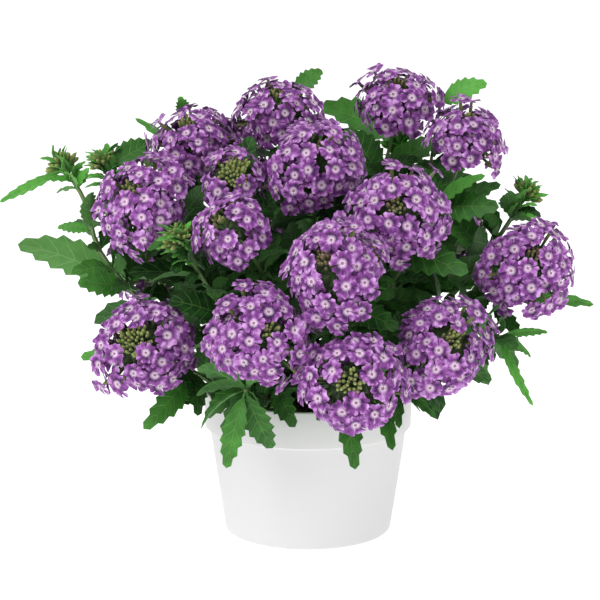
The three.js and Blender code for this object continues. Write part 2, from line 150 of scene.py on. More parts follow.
def copyOf(source, place, tone):  # the tone is one number a copy, which its material reads
    obj = addObject(source.name, source.data.copy())
    obj.data.transform(place)
    shade = obj.data.attributes.new("tone", "FLOAT", "POINT")
    shade.data.foreach_set("value", [tone] * len(obj.data.vertices))
    return obj


def join(parts, name):
    bpy.ops.object.select_all(action="DESELECT")
    for part in parts:
        part.select_set(True)
    bpy.context.view_layer.objects.active = parts[0]
    if len(parts) > 1:
        bpy.ops.object.join()
    parts[0].name = name
    parts[0].data.name = name
    return parts[0]


def finishPiece(obj, slotName, *nodes):
    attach(obj, "root")
    if nodes:
        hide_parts(*nodes)


def extrudeRings(obj, start, rings):  # raises a disc through rings of (radius, height), from its own ring
    lastRadius, lastHeight = start
    for radius, height in rings:
        bpy.ops.mesh.extrude_region_move(TRANSFORM_OT_translate={"value": (0, 0, height - lastHeight)})
        share = radius / lastRadius
        bpy.ops.transform.resize(value=(share, share, 1), center_override=(0, 0, height))
        lastRadius, lastHeight = radius, height


# Nodes that the finishes are made of. An input is a value, or the output that feeds it.

def addNode(tree, kind, inputs, **settings):
    node = tree.nodes.new(kind)
    for name, value in settings.items():
        setattr(node, name, value)
    for socket, value in inputs.items():
        if isinstance(value, bpy.types.NodeSocket):
            tree.links.new(value, node.inputs[socket])
        else:
            node.inputs[socket].default_value = value
    return node


def coordsOf(tree, kind):
    return addNode(tree, "ShaderNodeTexCoord", {}).outputs[kind]


def toneOf(tree):
    return addNode(tree, "ShaderNodeAttribute", {}, attribute_name="tone").outputs["Fac"]


def partsOf(tree, vector):
    return addNode(tree, "ShaderNodeSeparateXYZ", {"Vector": vector}).outputs


def maths(tree, operation, *terms, **settings):
    return addNode(tree, "ShaderNodeMath", dict(enumerate(terms)), operation=operation, **settings).outputs[0]


def noise(tree, place, size, detail, roughness=0.5):
    inputs = {"Vector": place, "Scale": 1 / size, "Detail": detail, "Roughness": roughness}
    return addNode(tree, "ShaderNodeTexNoise", inputs).outputs["Fac"]


def mapped(tree, value, fromLow, fromHigh, toLow, toHigh):
    inputs = {"Value": value, "From Min": fromLow, "From Max": fromHigh, "To Min": toLow, "To Max": toHigh}
    return addNode(tree, "ShaderNodeMapRange", inputs).outputs["Result"]


def mixed(tree, factor, first, second):
    inputs = {"Factor": factor, "A": first, "B": second}
    return addNode(tree, "ShaderNodeMix", inputs, data_type="RGBA").outputs["Result"]


def stopped(tree, factor, stops):  # a colour ramp, its stops given as (position, sRGB hex)
    node = addNode(tree, "ShaderNodeValToRGB", {"Fac": factor})
    elements = node.color_ramp.elements
    while len(elements) > 1:
        elements.remove(elements[-1])
    elements[0].position, elements[0].color = stops[0][0], linear(stops[0][1])
    for position, hexColour in stops[1:]:
        elements.new(position).color = linear(hexColour)
    return node.outputs["Color"]


def raised(tree, height, strength, distance, under=None, invert=False):  # a bump, over the one named by under
    inputs = {"Height": height, "Strength": strength, "Distance": distance}
    if under:
        inputs["Normal"] = under
    return addNode(tree, "ShaderNodeBump", inputs, invert=invert).outputs["Normal"]


def newMaterial(name):
    material = bpy.data.materials.new(name)
    material.use_nodes = True
    material.node_tree.nodes.clear()
    return material, material.node_tree


def closeMaterial(tree, inputs):
    shader = addNode(tree, "ShaderNodeBsdfPrincipled", inputs)
    addNode(tree, "ShaderNodeOutputMaterial", {"Surface": shader.outputs[0]})


# Finishes. A noise is (size, detail) and may end with its roughness, and a bump is (strength, depth). Two
# numbers say where something begins and ends, and four numbers map the first two to the last two.

plasticLook = {
    "colour": 0xD7D7D7,
    "roughness": (0.36, 0.46),
    "ior": 1.49,
    "ripple": (14 * mm, 2.0),  # broad ripple of a thin moulded wall
    "rippleBump": (0.25, 0.25 * mm),
    "grain": (0.9 * mm, 3.0),  # fine mould texture, coarser than life so that it shows
    "grainBump": (0.12, 0.05 * mm),
}


def plasticMaterial():
    # Polypropylene, injection moulded: satin, opaque, with a soft sheen that the wall's ripple breaks up
    look = plasticLook
    material, tree = newMaterial("whitePolypropylene")
    place = coordsOf(tree, "Object")
    ripple = noise(tree, place, *look["ripple"])
    grain = noise(tree, place, *look["grain"])
    wave = raised(tree, ripple, *look["rippleBump"])
    closeMaterial(tree, {
        "Base Color": linear(look["colour"]),
        "IOR": look["ior"],
        "Roughness": mapped(tree, ripple, 0, 1, *look["roughness"]),
        "Normal": raised(tree, grain, *look["grainBump"], wave),
    })
    return material


peatLook = {
    "stops": [(0.25, 0x150E09), (0.5, 0x2E2117), (0.68, 0x4A3727), (0.8, 0x6B543C)],
    "roughness": 0.95,
    "crumb": (2.2 * mm, 6.0, 0.7),
    "fibre": (0.7 * mm, 4.0),
    "fibreBump": (0.8, 0.6 * mm),
}


def peatMaterial():
    # Peat potting mix, crumbled: matt and nearly black where damp, with paler fibres
    look = peatLook
    material, tree = newMaterial("peatPottingMix")
    place = coordsOf(tree, "Object")
    fibre = noise(tree, place, *look["fibre"])
    closeMaterial(tree, {
        "Base Color": stopped(tree, noise(tree, place, *look["crumb"]), look["stops"]),
        "Roughness": look["roughness"],
        "Normal": raised(tree, fibre, *look["fibreBump"]),
    })
    return material


petalLook = {
    # The deep end is also painted shade: the florets underneath and the shaded patches reach it
    "deep": 0x3E174F,
    "mid": 0x884395,
    "pale": 0xDCA9E7,
    "midAt": 0.45,
    "blue": 0x6A52AE,  # a few flowers are cooler than the rest
    "bluest": (0.93, 0.96, 0, 0.55),  # from which tone on, and how much
    "eye": 0xFCE2F7,
    "throat": 0xBF9474,
    "mouth": 0x94687A,
    "tube": 0x9A7C9A,
    "eyeEdge": (0.18, 0.44),  # shares of the floret's radius
    "throatEdge": (0.06, 0.12),
    "mouthEdge": (0.03, 0.08),
    "fresh": (0.1, 0.7, 0.25, 0.95),  # the eye is clearer on the paler tones
    "rim": (0.45, 1.05, 0, 0.42),  # a petal gets paler to its edge
    "toneShare": 0.55,
    "lastPetal": 1.15,  # past this the UV stands for the tube
    "streaks": 5.0,
    "streakDrift": 40.0,
    "streak": (0.625, 3.0),
    "streakShare": 0.9,
    "patch": (4 * mm, 1.0),  # painted light and shade: neighbouring petals differ, as lit and shaded ones do
    "paintedLightShadeShare": 1.8,
    "ridgeBump": (0.35, 0.15 * mm),
}


def petalMaterial():
    # Verbena petal, fresh: velvety and thin, so it has a faint sheen
    look = petalLook
    material, tree = newMaterial("verbenaPetal")
    tone = toneOf(tree)
    inputs = {0: coordsOf(tree, "UV"), 1: (0.5, 0.5, 0)}
    place = addNode(tree, "ShaderNodeVectorMath", inputs, operation="SUBTRACT").outputs["Vector"]
    length = addNode(tree, "ShaderNodeVectorMath", {0: place}, operation="LENGTH").outputs["Value"]
    radius = maths(tree, "MULTIPLY", length, 2.0)
    parts = partsOf(tree, place)
    angle = maths(tree, "ARCTAN2", parts["Y"], parts["X"])
    # Fine streaks that run out from the throat: noise drawn out along the radius
    inputs = {"X": maths(tree, "MULTIPLY", angle, look["streaks"]), "Y": radius,
              "Z": maths(tree, "MULTIPLY", tone, look["streakDrift"])}
    polar = addNode(tree, "ShaderNodeCombineXYZ", inputs).outputs["Vector"]
    streak = noise(tree, polar, *look["streak"])
    # Deep at the middle of a petal and paler to its edge, more so on the pale flowers
    rim = mapped(tree, radius, *look["rim"])
    lightness = maths(tree, "MULTIPLY_ADD", tone, look["toneShare"], rim)
    streaked = maths(tree, "MULTIPLY_ADD", streak, look["streakShare"], -look["streakShare"] / 2)
    # Painted light and shade: a noise makes neighbouring petals lighter and darker, as lit and shaded ones
    # are
    paintedLightShadeNoise = noise(tree, coordsOf(tree, "Object"), *look["patch"])
    paintedLightShade = maths(tree, "MULTIPLY_ADD", paintedLightShadeNoise, look["paintedLightShadeShare"], -look["paintedLightShadeShare"] / 2)
    shade = maths(tree, "ADD", lightness, maths(tree, "ADD", streaked, paintedLightShade))
    colour = stopped(tree, shade, [(0.0, look["deep"]), (look["midAt"], look["mid"]), (1.0, look["pale"])])
    colour = mixed(tree, mapped(tree, tone, *look["bluest"]), colour, linear(look["blue"]))
    fresh = mapped(tree, tone, *look["fresh"])
    for key in ("eye", "throat", "mouth"):
        mask = mapped(tree, radius, *look[key + "Edge"], 1.0, 0.0)
        colour = mixed(tree, maths(tree, "MULTIPLY", mask, fresh), colour, linear(look[key]))
    tube = maths(tree, "GREATER_THAN", radius, look["lastPetal"])
    closeMaterial(tree, {
        "Base Color": mixed(tree, tube, colour, linear(look["tube"])),
        "Roughness": 0.6,
        "Sheen Weight": 0.12,
        "Sheen Roughness": 0.5,
        "Specular IOR Level": 0.25,
        "Normal": raised(tree, streak, *look["ridgeBump"]),
    })
    return material


leafLook = {
    # The dark ends are also painted shade: the leaves deep in the mound get tones near them
    "upper": {"dark": 0x163D14, "light": 0x5FB244, "vein": 0x86B75E, "roughness": 0.48},
    "under": {"dark": 0x33652A, "light": 0x6AA651, "vein": 0x93BC78, "roughness": 0.65},
    "blotch": (7 * mm, 3.0),
    "blotchShare": 0.6,
    "pimple": (1.1 * mm, 2.0),  # the rough hairy skin, as coarse as it needs to show
    "pimpleBump": (0.3, 0.15 * mm),
    "quiltBump": (0.6, 0.5 * mm),
    "midribHalf": 0.06,  # share of the half width
    "veinHalf": 0.10,  # share of the space between two side veins
    "veinHeight": 0.8,  # of a side vein, where the midrib has 1
    "veinShare": 0.32,  # how far a vein takes on its own colour
    "slant": 1 / 7,  # how far along the leaf a side vein gets on its way to the edge
}


def leafMaterial(name, side, teeth):
    # Verbena leaf, fresh: dull, rough with short hairs, quilted between veins that run out to the teeth
    look = leafLook
    colours = look[side]
    rib, branch = look["midribHalf"], look["veinHalf"]
    material, tree = newMaterial(name)
    tone = toneOf(tree)
    uv = partsOf(tree, coordsOf(tree, "UV"))
    across = maths(tree, "ABSOLUTE", maths(tree, "MULTIPLY_ADD", uv["X"], 2.0, -1.0))
    midrib = mapped(tree, across, 0.3 * rib, rib, 1.0, 0.0)
    along = maths(tree, "MULTIPLY_ADD", across, -look["slant"], uv["Y"])
    phase = maths(tree, "MULTIPLY_ADD", along, teeth, -0.5)
    away = maths(tree, "PINGPONG", phase, 0.5)
    ribs = mapped(tree, away, 0.2 * branch, branch, look["veinHeight"], 0.0)
    vein = maths(tree, "MAXIMUM", midrib, ribs)
    place = coordsOf(tree, "Object")
    blotch = noise(tree, place, *look["blotch"])
    mottled = maths(tree, "MULTIPLY_ADD", blotch, look["blotchShare"], -look["blotchShare"] / 2)
    # The tone carries painted shade: it is low on the leaves deep in the mound
    shade = maths(tree, "ADD", tone, mottled, use_clamp=True)
    green = mixed(tree, shade, linear(colours["dark"]), linear(colours["light"]))
    faint = maths(tree, "MULTIPLY", vein, look["veinShare"])
    skin = raised(tree, noise(tree, place, *look["pimple"]), *look["pimpleBump"])
    closeMaterial(tree, {
        "Base Color": mixed(tree, faint, green, linear(colours["vein"])),
        "Roughness": colours["roughness"],
        "Sheen Weight": 0.06,
        "Specular IOR Level": 0.25,
        "Normal": raised(tree, vein, *look["quiltBump"], skin, side == "upper"),
    })
    return material


stemLook = {
    "stops": [(0.3, 0x3E5B2A), (0.55, 0x5F7F42), (0.8, 0x6B5A45)],
    "patch": (12 * mm, 3.0),
    "hair": (0.6 * mm, 2.0),
    "hairBump": (0.5, 0.15 * mm),
}


def stemMaterial():
    # Verbena stem, green wood: dull, hairy, flushed brown where the sun falls
    look = stemLook
    material, tree = newMaterial("verbenaStem")
    place = coordsOf(tree, "Object")
    closeMaterial(tree, {
        "Base Color": stopped(tree, noise(tree, place, *look["patch"]), look["stops"]),
        "Roughness": 0.6,
        "Sheen Weight": 0.15,
        "Normal": raised(tree, noise(tree, place, *look["hair"]), *look["hairBump"]),
    })
    return material


budLook = {
    "young": [(0.0, 0x2E4C20), (0.45, 0x547430), (0.8, 0x7A8E3E), (1.0, 0x95A056)],
    "ripe": [(0.0, 0x2A3C1C), (0.45, 0x46542A), (0.8, 0x655C36), (1.0, 0x7A5A4C)],
    "ribs": (0.5 * mm, 1.0),
    "ribBump": (0.4, 0.15 * mm),
}


def budMaterial():
    # Bud and calyx, fresh: ribbed and hairy, green at the foot and olive, straw or brown towards the tip
    look = budLook
    material, tree = newMaterial("verbenaBud")
    height = partsOf(tree, coordsOf(tree, "UV"))["Y"]
    young, ripe = [stopped(tree, height, look[age]) for age in ("young", "ripe")]
    ribs = noise(tree, coordsOf(tree, "Object"), *look["ribs"])
    closeMaterial(tree, {
        "Base Color": mixed(tree, toneOf(tree), young, ripe),
        "Roughness": 0.6,
        "Sheen Weight": 0.2,
        "Normal": raised(tree, ribs, *look["ribBump"]),
    })
    return material


leafTeeth = 7
plastic = plasticMaterial()
peat = peatMaterial()
petalSkin = petalMaterial()
leafUpper = leafMaterial("verbenaLeafUpper", "upper", leafTeeth)
leafUnder = leafMaterial("verbenaLeafUnderside", "under", leafTeeth)
stemSkin = stemMaterial()
budSkin = budMaterial()
print("Finishes made")


# Pot and soil

pot = {
    "height": 90 * mm,
    "rimRadius": 65 * mm,
    "collarHeight": 24 * mm,
    "collarStep": 3.5 * mm,
    "baseRadius": 52 * mm,
    "wall": 1.8 * mm,
    "floor": 2.4 * mm,
    "edge": 1.2 * mm,
    "bevel": 0.4 * mm,
    "sharp": 25,  # edges past this angle in degrees get the bevel
    "sides": 96,
    "drainHoles": 4,
    "drainSides": 24,
    "drainRadius": 4.5 * mm,
    "drainRing": 34 * mm,
    "gap": 0.3 * mm,  # left between the pot and the soil
}
pot["collarBottom"] = pot["height"] - pot["collarHeight"]
pot["neckRadius"] = pot["rimRadius"] - pot["collarStep"]


def makePot():
    p = pot
    foot = (p["baseRadius"] - p["edge"], 0)
    rings = [
        (p["baseRadius"], p["edge"]),
        (p["neckRadius"], p["collarBottom"]),
        (p["rimRadius"] - p["edge"] / 2, p["collarBottom"] + p["edge"]),
        (p["rimRadius"], p["height"] - p["edge"] / 2),
        (p["rimRadius"] - p["edge"] / 2, p["height"]),
        (p["rimRadius"] - p["wall"], p["height"]),
        (p["rimRadius"] - p["wall"], p["collarBottom"] + p["wall"]),
        (p["neckRadius"] - p["wall"], p["collarBottom"]),
        (p["baseRadius"] - p["wall"], p["floor"]),
    ]
    bpy.ops.mesh.primitive_circle_add(vertices=p["sides"], radius=foot[0], fill_type="NGON")
    body = bpy.context.object
    editMode(body)
    extrudeRings(body, foot, rings)
    closeMesh()
    addModifier(body, "BEVEL", width=p["bevel"], segments=3, limit_method="ANGLE",
                angle_limit=radians(p["sharp"]))
    for i in range(p["drainHoles"]):
        turn = 2 * pi * i / p["drainHoles"]
        at = (p["drainRing"] * cos(turn), p["drainRing"] * sin(turn), 0)
        bpy.ops.mesh.primitive_cylinder_add(
            vertices=p["drainSides"], radius=p["drainRadius"], depth=6 * p["floor"], location=at)
        drill = bpy.context.object
        addModifier(body, "BOOLEAN", operation="DIFFERENCE", object=drill, solver="EXACT")
        bpy.data.objects.remove(drill)
    dress(body, plastic, 30)
    return join([body], "nurseryPot")


soil = {
    "top": 80 * mm,
    "crown": 2.5 * mm,
    "sides": 72,
    "rings": 9,
    "lumps": 9 * mm,
    "lumpHeight": 2.4 * mm,
    "lumpShare": 0.97,  # of the radius; the rest stays plain, clear of the pot
    "lumpReach": 1.2,  # how deep the lumps go, as a share of the crown
    "crumbs": 420,
    "crumbMargin": 3 * mm,
    "crumbSize": (0.8 * mm, 2.2 * mm),
    "crumbShape": (1, 0.8, 0.6),
    "crumbRise": 0.2,  # how far a crumb's middle lies over the soil, as a share of its size
    "seed": 5,
}


def makeCrumb():
    bpy.ops.mesh.primitive_ico_sphere_add(subdivisions=1, radius=1.0)
    crumb = bpy.context.object
    editMode(crumb)
    pickVerts(crumb, lambda v: v.co.z > 0.3)
    bpy.ops.transform.resize(value=(0.7, 1.1, 0.8), center_override=(0, 0, 0))
    pickVerts(crumb, lambda v: v.co.x > 0.3)
    bpy.ops.transform.translate(value=(0.35, -0.1, 0.1))
    objectMode()
    return crumb


def makeSoil():
    shrink = pot["wall"] + pot["gap"]
    foot = (pot["baseRadius"] - shrink, pot["floor"] + pot["gap"])
    rings = [
        (pot["neckRadius"] - shrink, pot["collarBottom"] + pot["gap"]),
        (pot["rimRadius"] - shrink, pot["collarBottom"] + pot["wall"] + 2 * pot["gap"]),
        (pot["rimRadius"] - shrink, soil["top"] - soil["crown"]),
    ]
    bpy.ops.mesh.primitive_circle_add(
        vertices=soil["sides"], radius=foot[0], fill_type="NGON", location=(0, 0, foot[1]))
    bed = bpy.context.object
    applyPlace()
    editMode(bed)
    extrudeRings(bed, foot, rings)
    edge = pot["rimRadius"] - shrink
    for i in range(soil["rings"]):  # rings over the top, rising to the crown
        share = 1 - (i + 1) / (soil["rings"] + 1)
        before = 1 - i / (soil["rings"] + 1)
        rise = soil["crown"] * (before ** 2 - share ** 2)
        bpy.ops.mesh.extrude_region_move(TRANSFORM_OT_translate={"value": (0, 0, rise)})
        narrower = share / before
        bpy.ops.transform.resize(value=(narrower, narrower, 1), center_override=(0, 0, soil["top"]))
    bpy.ops.mesh.poke()
    closeMesh()
    deepest, widest = soil["top"] - soil["lumpReach"] * soil["crown"], soil["lumpShare"] * edge
    crust = bed.vertex_groups.new(name="crust")
    crust.add([v.index for v in bed.data.vertices
               if v.co.z > deepest and hypot(v.co.x, v.co.y) < widest], 1.0, "ADD")
    lumps = bpy.data.textures.new("soilLumps", "CLOUDS")
    lumps.noise_scale = soil["lumps"]
    addModifier(bed, "DISPLACE", texture=lumps, strength=soil["lumpHeight"], mid_level=0.5,
                vertex_group=crust.name)
    draw = random.Random(soil["seed"])
    crumb = makeCrumb()
    parts = [bed]
    for _ in range(soil["crumbs"]):
        out = (edge - soil["crumbMargin"]) * sqrt(draw.random())
        turn = draw.uniform(0, 2 * pi)
        size = draw.uniform(*soil["crumbSize"])
        height = soil["top"] - soil["crown"] * (out / edge) ** 2 + soil["crumbRise"] * size
        angle = draw.uniform(0, 6.28)
        spin = Matrix.Rotation(angle, 4, Vector((draw.random(), draw.random(), 1)).normalized())
        place = Matrix.Translation((out * cos(turn), out * sin(turn), height)) @ spin
        stretch = Matrix.Diagonal([share * size for share in soil["crumbShape"]] + [1])
        parts.append(copyOf(crumb, place @ stretch, 0.5))
    bpy.data.objects.remove(crumb)
    bed = join(parts, "pottingSoil")
    dress(bed, peat, 50)
    return bed


finishPiece(makePot(), "pot", "pot")
finishPiece(makeSoil(), "soil", "soil")
print("Pot and soil made")


# One floret, one calyx and one bud, each modelled once

floret = {
    "radius": 7.2 * mm,  # from the throat to the lobes of a petal
    "petals": 5,
    # Rows across a petal, as shares of the radius: reach, half width, height in the middle, at the sides
    "rows": [
        (0.12, 0.10, -0.03, -0.03),
        (0.46, 0.32, 0.00, 0.05),
        (0.80, 0.50, 0.06, 0.02),
        (1.00, 0.34, 0.01, -0.05),
    ],
    "notch": 0.10,
    "belly": 0.06,  # how far the underside hangs below the upper side
    "tubeLength": 7 * mm,
    "tubeRadius": 0.7 * mm,
    "mouthRadius": 1.1 * mm,
    "mouthDepth": 0.5 * mm,
    "mouthUv": 0.52,  # beside the middle of the petals' map
    "tubeUv": 1.15,  # past its edge
    "size": (0.93, 1.05),
    "stray": 0.06,  # how far a petal turns from its place, in radians
    "kinds": 4,  # florets that differ in how their petals tilt and twist
    "tilt": 9,
    "twist": 12,
    "seed": 11,
}


def makePetal():
    size = floret["radius"]
    rows = floret["rows"]
    petal = addStrip(2, len(rows) - 1, size)
    for i in reversed(range(len(rows))):
        reach, half, middle, sides = rows[i]
        start = i / (len(rows) - 1)
        pickVerts(petal, lambda v: abs(v.co.y - start * size) < 0.05 * size)
        bpy.ops.transform.resize(value=(2 * half, 1, 1), center_override=(0, start * size, 0))
        bpy.ops.transform.translate(value=(0, (reach - start) * size, middle * size))
        pickVerts(petal, lambda v: abs(v.co.y - reach * size) < 0.01 * size and abs(v.co.x) > 0.02 * size)
        bpy.ops.transform.translate(value=(0, 0, (sides - middle) * size))
    pickVerts(petal, lambda v: v.co.y > 0.99 * size and abs(v.co.x) < 0.02 * size)
    bpy.ops.transform.translate(value=(0, -floret["notch"] * size, 0))
    bpy.ops.mesh.select_all(action="SELECT")
    bpy.ops.mesh.duplicate()
    bpy.ops.mesh.flip_normals()
    pickVerts(petal, lambda v: v.select and abs(v.co.x) < 0.02 * size)
    bpy.ops.transform.translate(value=(0, 0, -floret["belly"] * size))
    bpy.ops.mesh.select_all(action="SELECT")
    bpy.ops.mesh.remove_doubles(threshold=0.005 * mm)
    bpy.ops.mesh.fill_holes(sides=4)  # the ends, at the throat and at the notch
    closeMesh()
    return petal


def petalUv(co, normal):  # a map of the open flower; the underside keeps clear of the eye in its middle
    share = hypot(co.x, co.y) / floret["radius"]
    reach = 0.5 if normal.z > 0 else 0.5 * (0.6 + 0.4 * share) / max(share, 0.01)
    return 0.5 + reach * co.x / floret["radius"], 0.5 + reach * co.y / floret["radius"]


def makeFloret(name, petal, draw):
    stray = floret["stray"]
    parts = []
    for k in range(floret["petals"]):
        lean = Matrix.Rotation(radians(draw.uniform(-0.5, 1) * floret["tilt"]), 4, "X")
        roll = Matrix.Rotation(radians(draw.uniform(0.4, 1) * floret["twist"]), 4, "Y")
        turn = Matrix.Rotation(2 * pi * k / floret["petals"] + draw.uniform(-stray, stray), 4, "Z")
        size = draw.uniform(*floret["size"])
        parts.append(copyOf(petal, turn @ lean @ roll @ Matrix.Scale(size, 4), 0.5))
    length = floret["tubeLength"]
    tube = addCone(floret["petals"], floret["tubeRadius"], floret["mouthRadius"], length,
                   -floret["mouthDepth"] - length / 2)
    for part in parts:
        setUv(part, petalUv)
    inMouth, onTube = floret["mouthUv"], floret["tubeUv"]
    setUv(tube, lambda co, normal: (inMouth if normal.z > 0.9 else onTube, 0.5))
    bloom = join([tube] + parts, name)
    dress(bloom, petalSkin, 60)
    return bloom


calyx = {"length": 9 * mm, "footRadius": 0.6 * mm, "rimRadius": 1.15 * mm, "sides": 10, "tooth": 1.4 * mm}


def makeCalyx():
    length = calyx["length"]
    cup = addCone(calyx["sides"], calyx["footRadius"], calyx["rimRadius"], length, length / 2)
    editMode(cup)
    step = 4 * pi / calyx["sides"]  # every second corner of the rim is a tooth

    def atTooth(v):
        return v.co.z > 0.9 * length and abs(remainder(atan2(v.co.y, v.co.x), step)) < 0.1

    pickVerts(cup, atTooth)
    bpy.ops.transform.translate(value=(0, 0, calyx["tooth"]))
    bpy.ops.transform.resize(value=(1.3, 1.3, 1), center_override=(0, 0, length))
    objectMode()
    setUv(cup, lambda co, normal: (0.5, 0.9 * co.z / length))
    dress(cup, budSkin, 50)
    return cup


bud = {
    "length": 9 * mm,
    "sides": 6,
    # Rings of (radius, height) in millimetres, from the foot to the tip
    "rings": [(0.5, 0), (0.9, 3.0), (1.25, 5.6), (1.15, 7.4), (0.75, 8.6), (0.2, 9.1)],
}


def makeBud():
    rings = [(radius * mm, height * mm) for radius, height in bud["rings"]]
    bpy.ops.mesh.primitive_circle_add(vertices=bud["sides"], radius=rings[0][0], fill_type="NGON")
    spear = bpy.context.object
    editMode(spear)
    extrudeRings(spear, rings[0], rings[1:])
    closeMesh()
    setUv(spear, lambda co, normal: (0.5, co.z / bud["length"]))
    dress(spear, budSkin, 50)
    return spear


def makeCore():  # the knobbly end of the stem that a head's flowers grow from, of radius one
    bpy.ops.mesh.primitive_ico_sphere_add(subdivisions=2, radius=1.0)
    core = bpy.context.object
    editMode(core)
    bpy.ops.mesh.poke(offset=0.22)
    objectMode()
    setUv(core, lambda co, normal: (0.5, 0.1 + 0.25 * max(0.0, co.length - 1)))
    core.data.materials.append(budSkin)
    return core


petalModel = makePetal()
floretDraw = random.Random(floret["seed"])
floretModels = [makeFloret(f"floret{k}", petalModel, floretDraw) for k in range(floret["kinds"])]
calyxModel = makeCalyx()
budModel = makeBud()
coreModel = makeCore()
print("Floret, calyx, bud and core modelled")


# Flower heads: name, centre, turn from -Y towards +X and lift above the horizon in degrees, spread, foot in
# the soil; millimetres. Then the width of the bud cluster in the middle as an angle, and how ripe it is.

flowerHeads = [
    ("top_left", (-18.5, 28, 255), -10, 62, 27, (-6, 8), 11, 0.5),
    ("top_centre", (4, -22, 231.5), 0, 38, 30, (3, -6), 12, 0.9),
    ("top_right_back", (56, 42, 260.5), 15, 65, 27, (14, 12), 11, 0.5),
    ("top_right", (97, 12, 242), 35, 68, 26, (24, 3), 11, 0.5),
    ("upper_left", (-70.5, 15, 238), -30, 66, 27.5, (-20, 6), 13, 0.4),
    ("inner_left", (-46, -36, 227), 12, 28, 18, (-14, -8), 42, 0.1),
    ("left", (-98, -40, 212), -25, 34, 29, (-28, -10), 13, 0.4),
    ("centre_left", (-45, -72, 200.5), -35, 35, 23, (-13, -20), 12, 0.5),
    ("centre", (15, -98, 181), -20, 34, 31, (5, -26), 14, 0.8),
    ("centre_right", (52.5, -58, 208), -5, 24, 29.5, (15, -15), 13, 0.6),
    ("right", (133, -25, 170), 12, 36, 30, (36, -7), 11, 1.0),
    ("low_left", (-98, -62, 129), -12, 25, 30, (-38, -24), 24, 0.15),
    ("low_centre_left", (-28, -112, 146.5), 15, 25, 29.5, (-9, -36), 13, 0.4),
    ("low_centre", (25, -118, 121), -5, 16, 29, (8, -46), 21, 0.2),
    ("low_right", (78, -84, 134.5), 18, 27, 29, (28, -31), 16, 0.4),
    ("back_high_left", (-52, 76, 222), -150, 50, 28, (-15, 20), 13, 0.5),
    ("back_high_right", (24, 88, 212), 170, 45, 29, (8, 25), 14, 0.3),
    ("back_right", (92, 78, 176), 130, 40, 30, (28, 22), 12, 0.7),
    ("back_low_left", (-96, 66, 158), -125, 30, 30, (-32, 22), 17, 0.3),
    ("back_low_mid", (-30, 118, 150), -165, 28, 30, (-8, 40), 13, 0.6),
    ("back_low_right", (48, 114, 138), 160, 25, 30, (18, 40), 14, 0.4),
]
headKeys = ("name", "at", "turn", "lift", "spread", "foot", "budAngle", "ripeness")
heads = [dict(zip(headKeys, row)) for row in flowerHeads]
for head in heads:
    head["at"] = Vector(head["at"]) * mm
    head["foot"] = [x * mm for x in head["foot"]]
    head["spread"] *= mm
    flat = cos(radians(head["lift"]))
    turn = radians(head["turn"])
    head["axis"] = Vector((sin(turn) * flat, -cos(turn) * flat, sin(radians(head["lift"]))))

headShape = {
    "side": 0.94,  # half width of the dome that the throats lie on, as a share of the spread
    "rise": 0.86,
    "lastAngle": 106,  # how far down from the middle the flowers go
    "cover": 1.12,  # floret discs to dome surface
    "underCover": 0.85,  # the same for the older flowers underneath
    "underSwell": 0.80,
    "lean": 0.24,
    "outlook": 0.5,  # how far the flowers of a level head turn from the dome's slope to the way that it faces
    "lumps": 0.10,  # how far the dome swells and sinks
    "swell": (0.93, 1.03),
    "strays": 0.15,  # share of the flowers that stand out from it
    "strayReach": 0.2,
    "coreRadius": 0.5,
    "coreDepth": 0.3,
    "packing": 0.93,  # share of the dome's area that the florets get
    "florets": (0.88, 1.06),  # their sizes
    "sunk": 0.45,  # how far down its tube a floret meets its calyx, as a share of the tube
    "goldenAngle": 137.508,
    "budStep": 2.9 * mm,
    "budPacking": 0.86,
    "budSwell": (0.84, 0.98),
    "budSize": (0.75, 1.1),
    "budLength": 1.25,
    "fewestBuds": 8,
    "seed": 100,
}


def domePlace(shape, down, around, swell=1.0):  # a point of a head's dome and the way it faces, in its frame
    side = headShape["side"] * shape["spread"]
    rise = headShape["rise"] * shape["spread"]
    out = sin(down)
    waves = sin(2 * around + shape["turn"]) + sin(3 * around - shape["lift"] + 2 * down)
    swell *= 1 + headShape["lumps"] * out * waves
    at = Vector((side * out * cos(around), side * out * sin(around), rise * cos(down))) * swell
    faces = Vector((at.x / side ** 2, at.y / side ** 2, at.z / rise ** 2)).normalized()
    return at, faces


def turnTo(direction):
    return up.rotation_difference(direction).to_matrix().to_4x4()


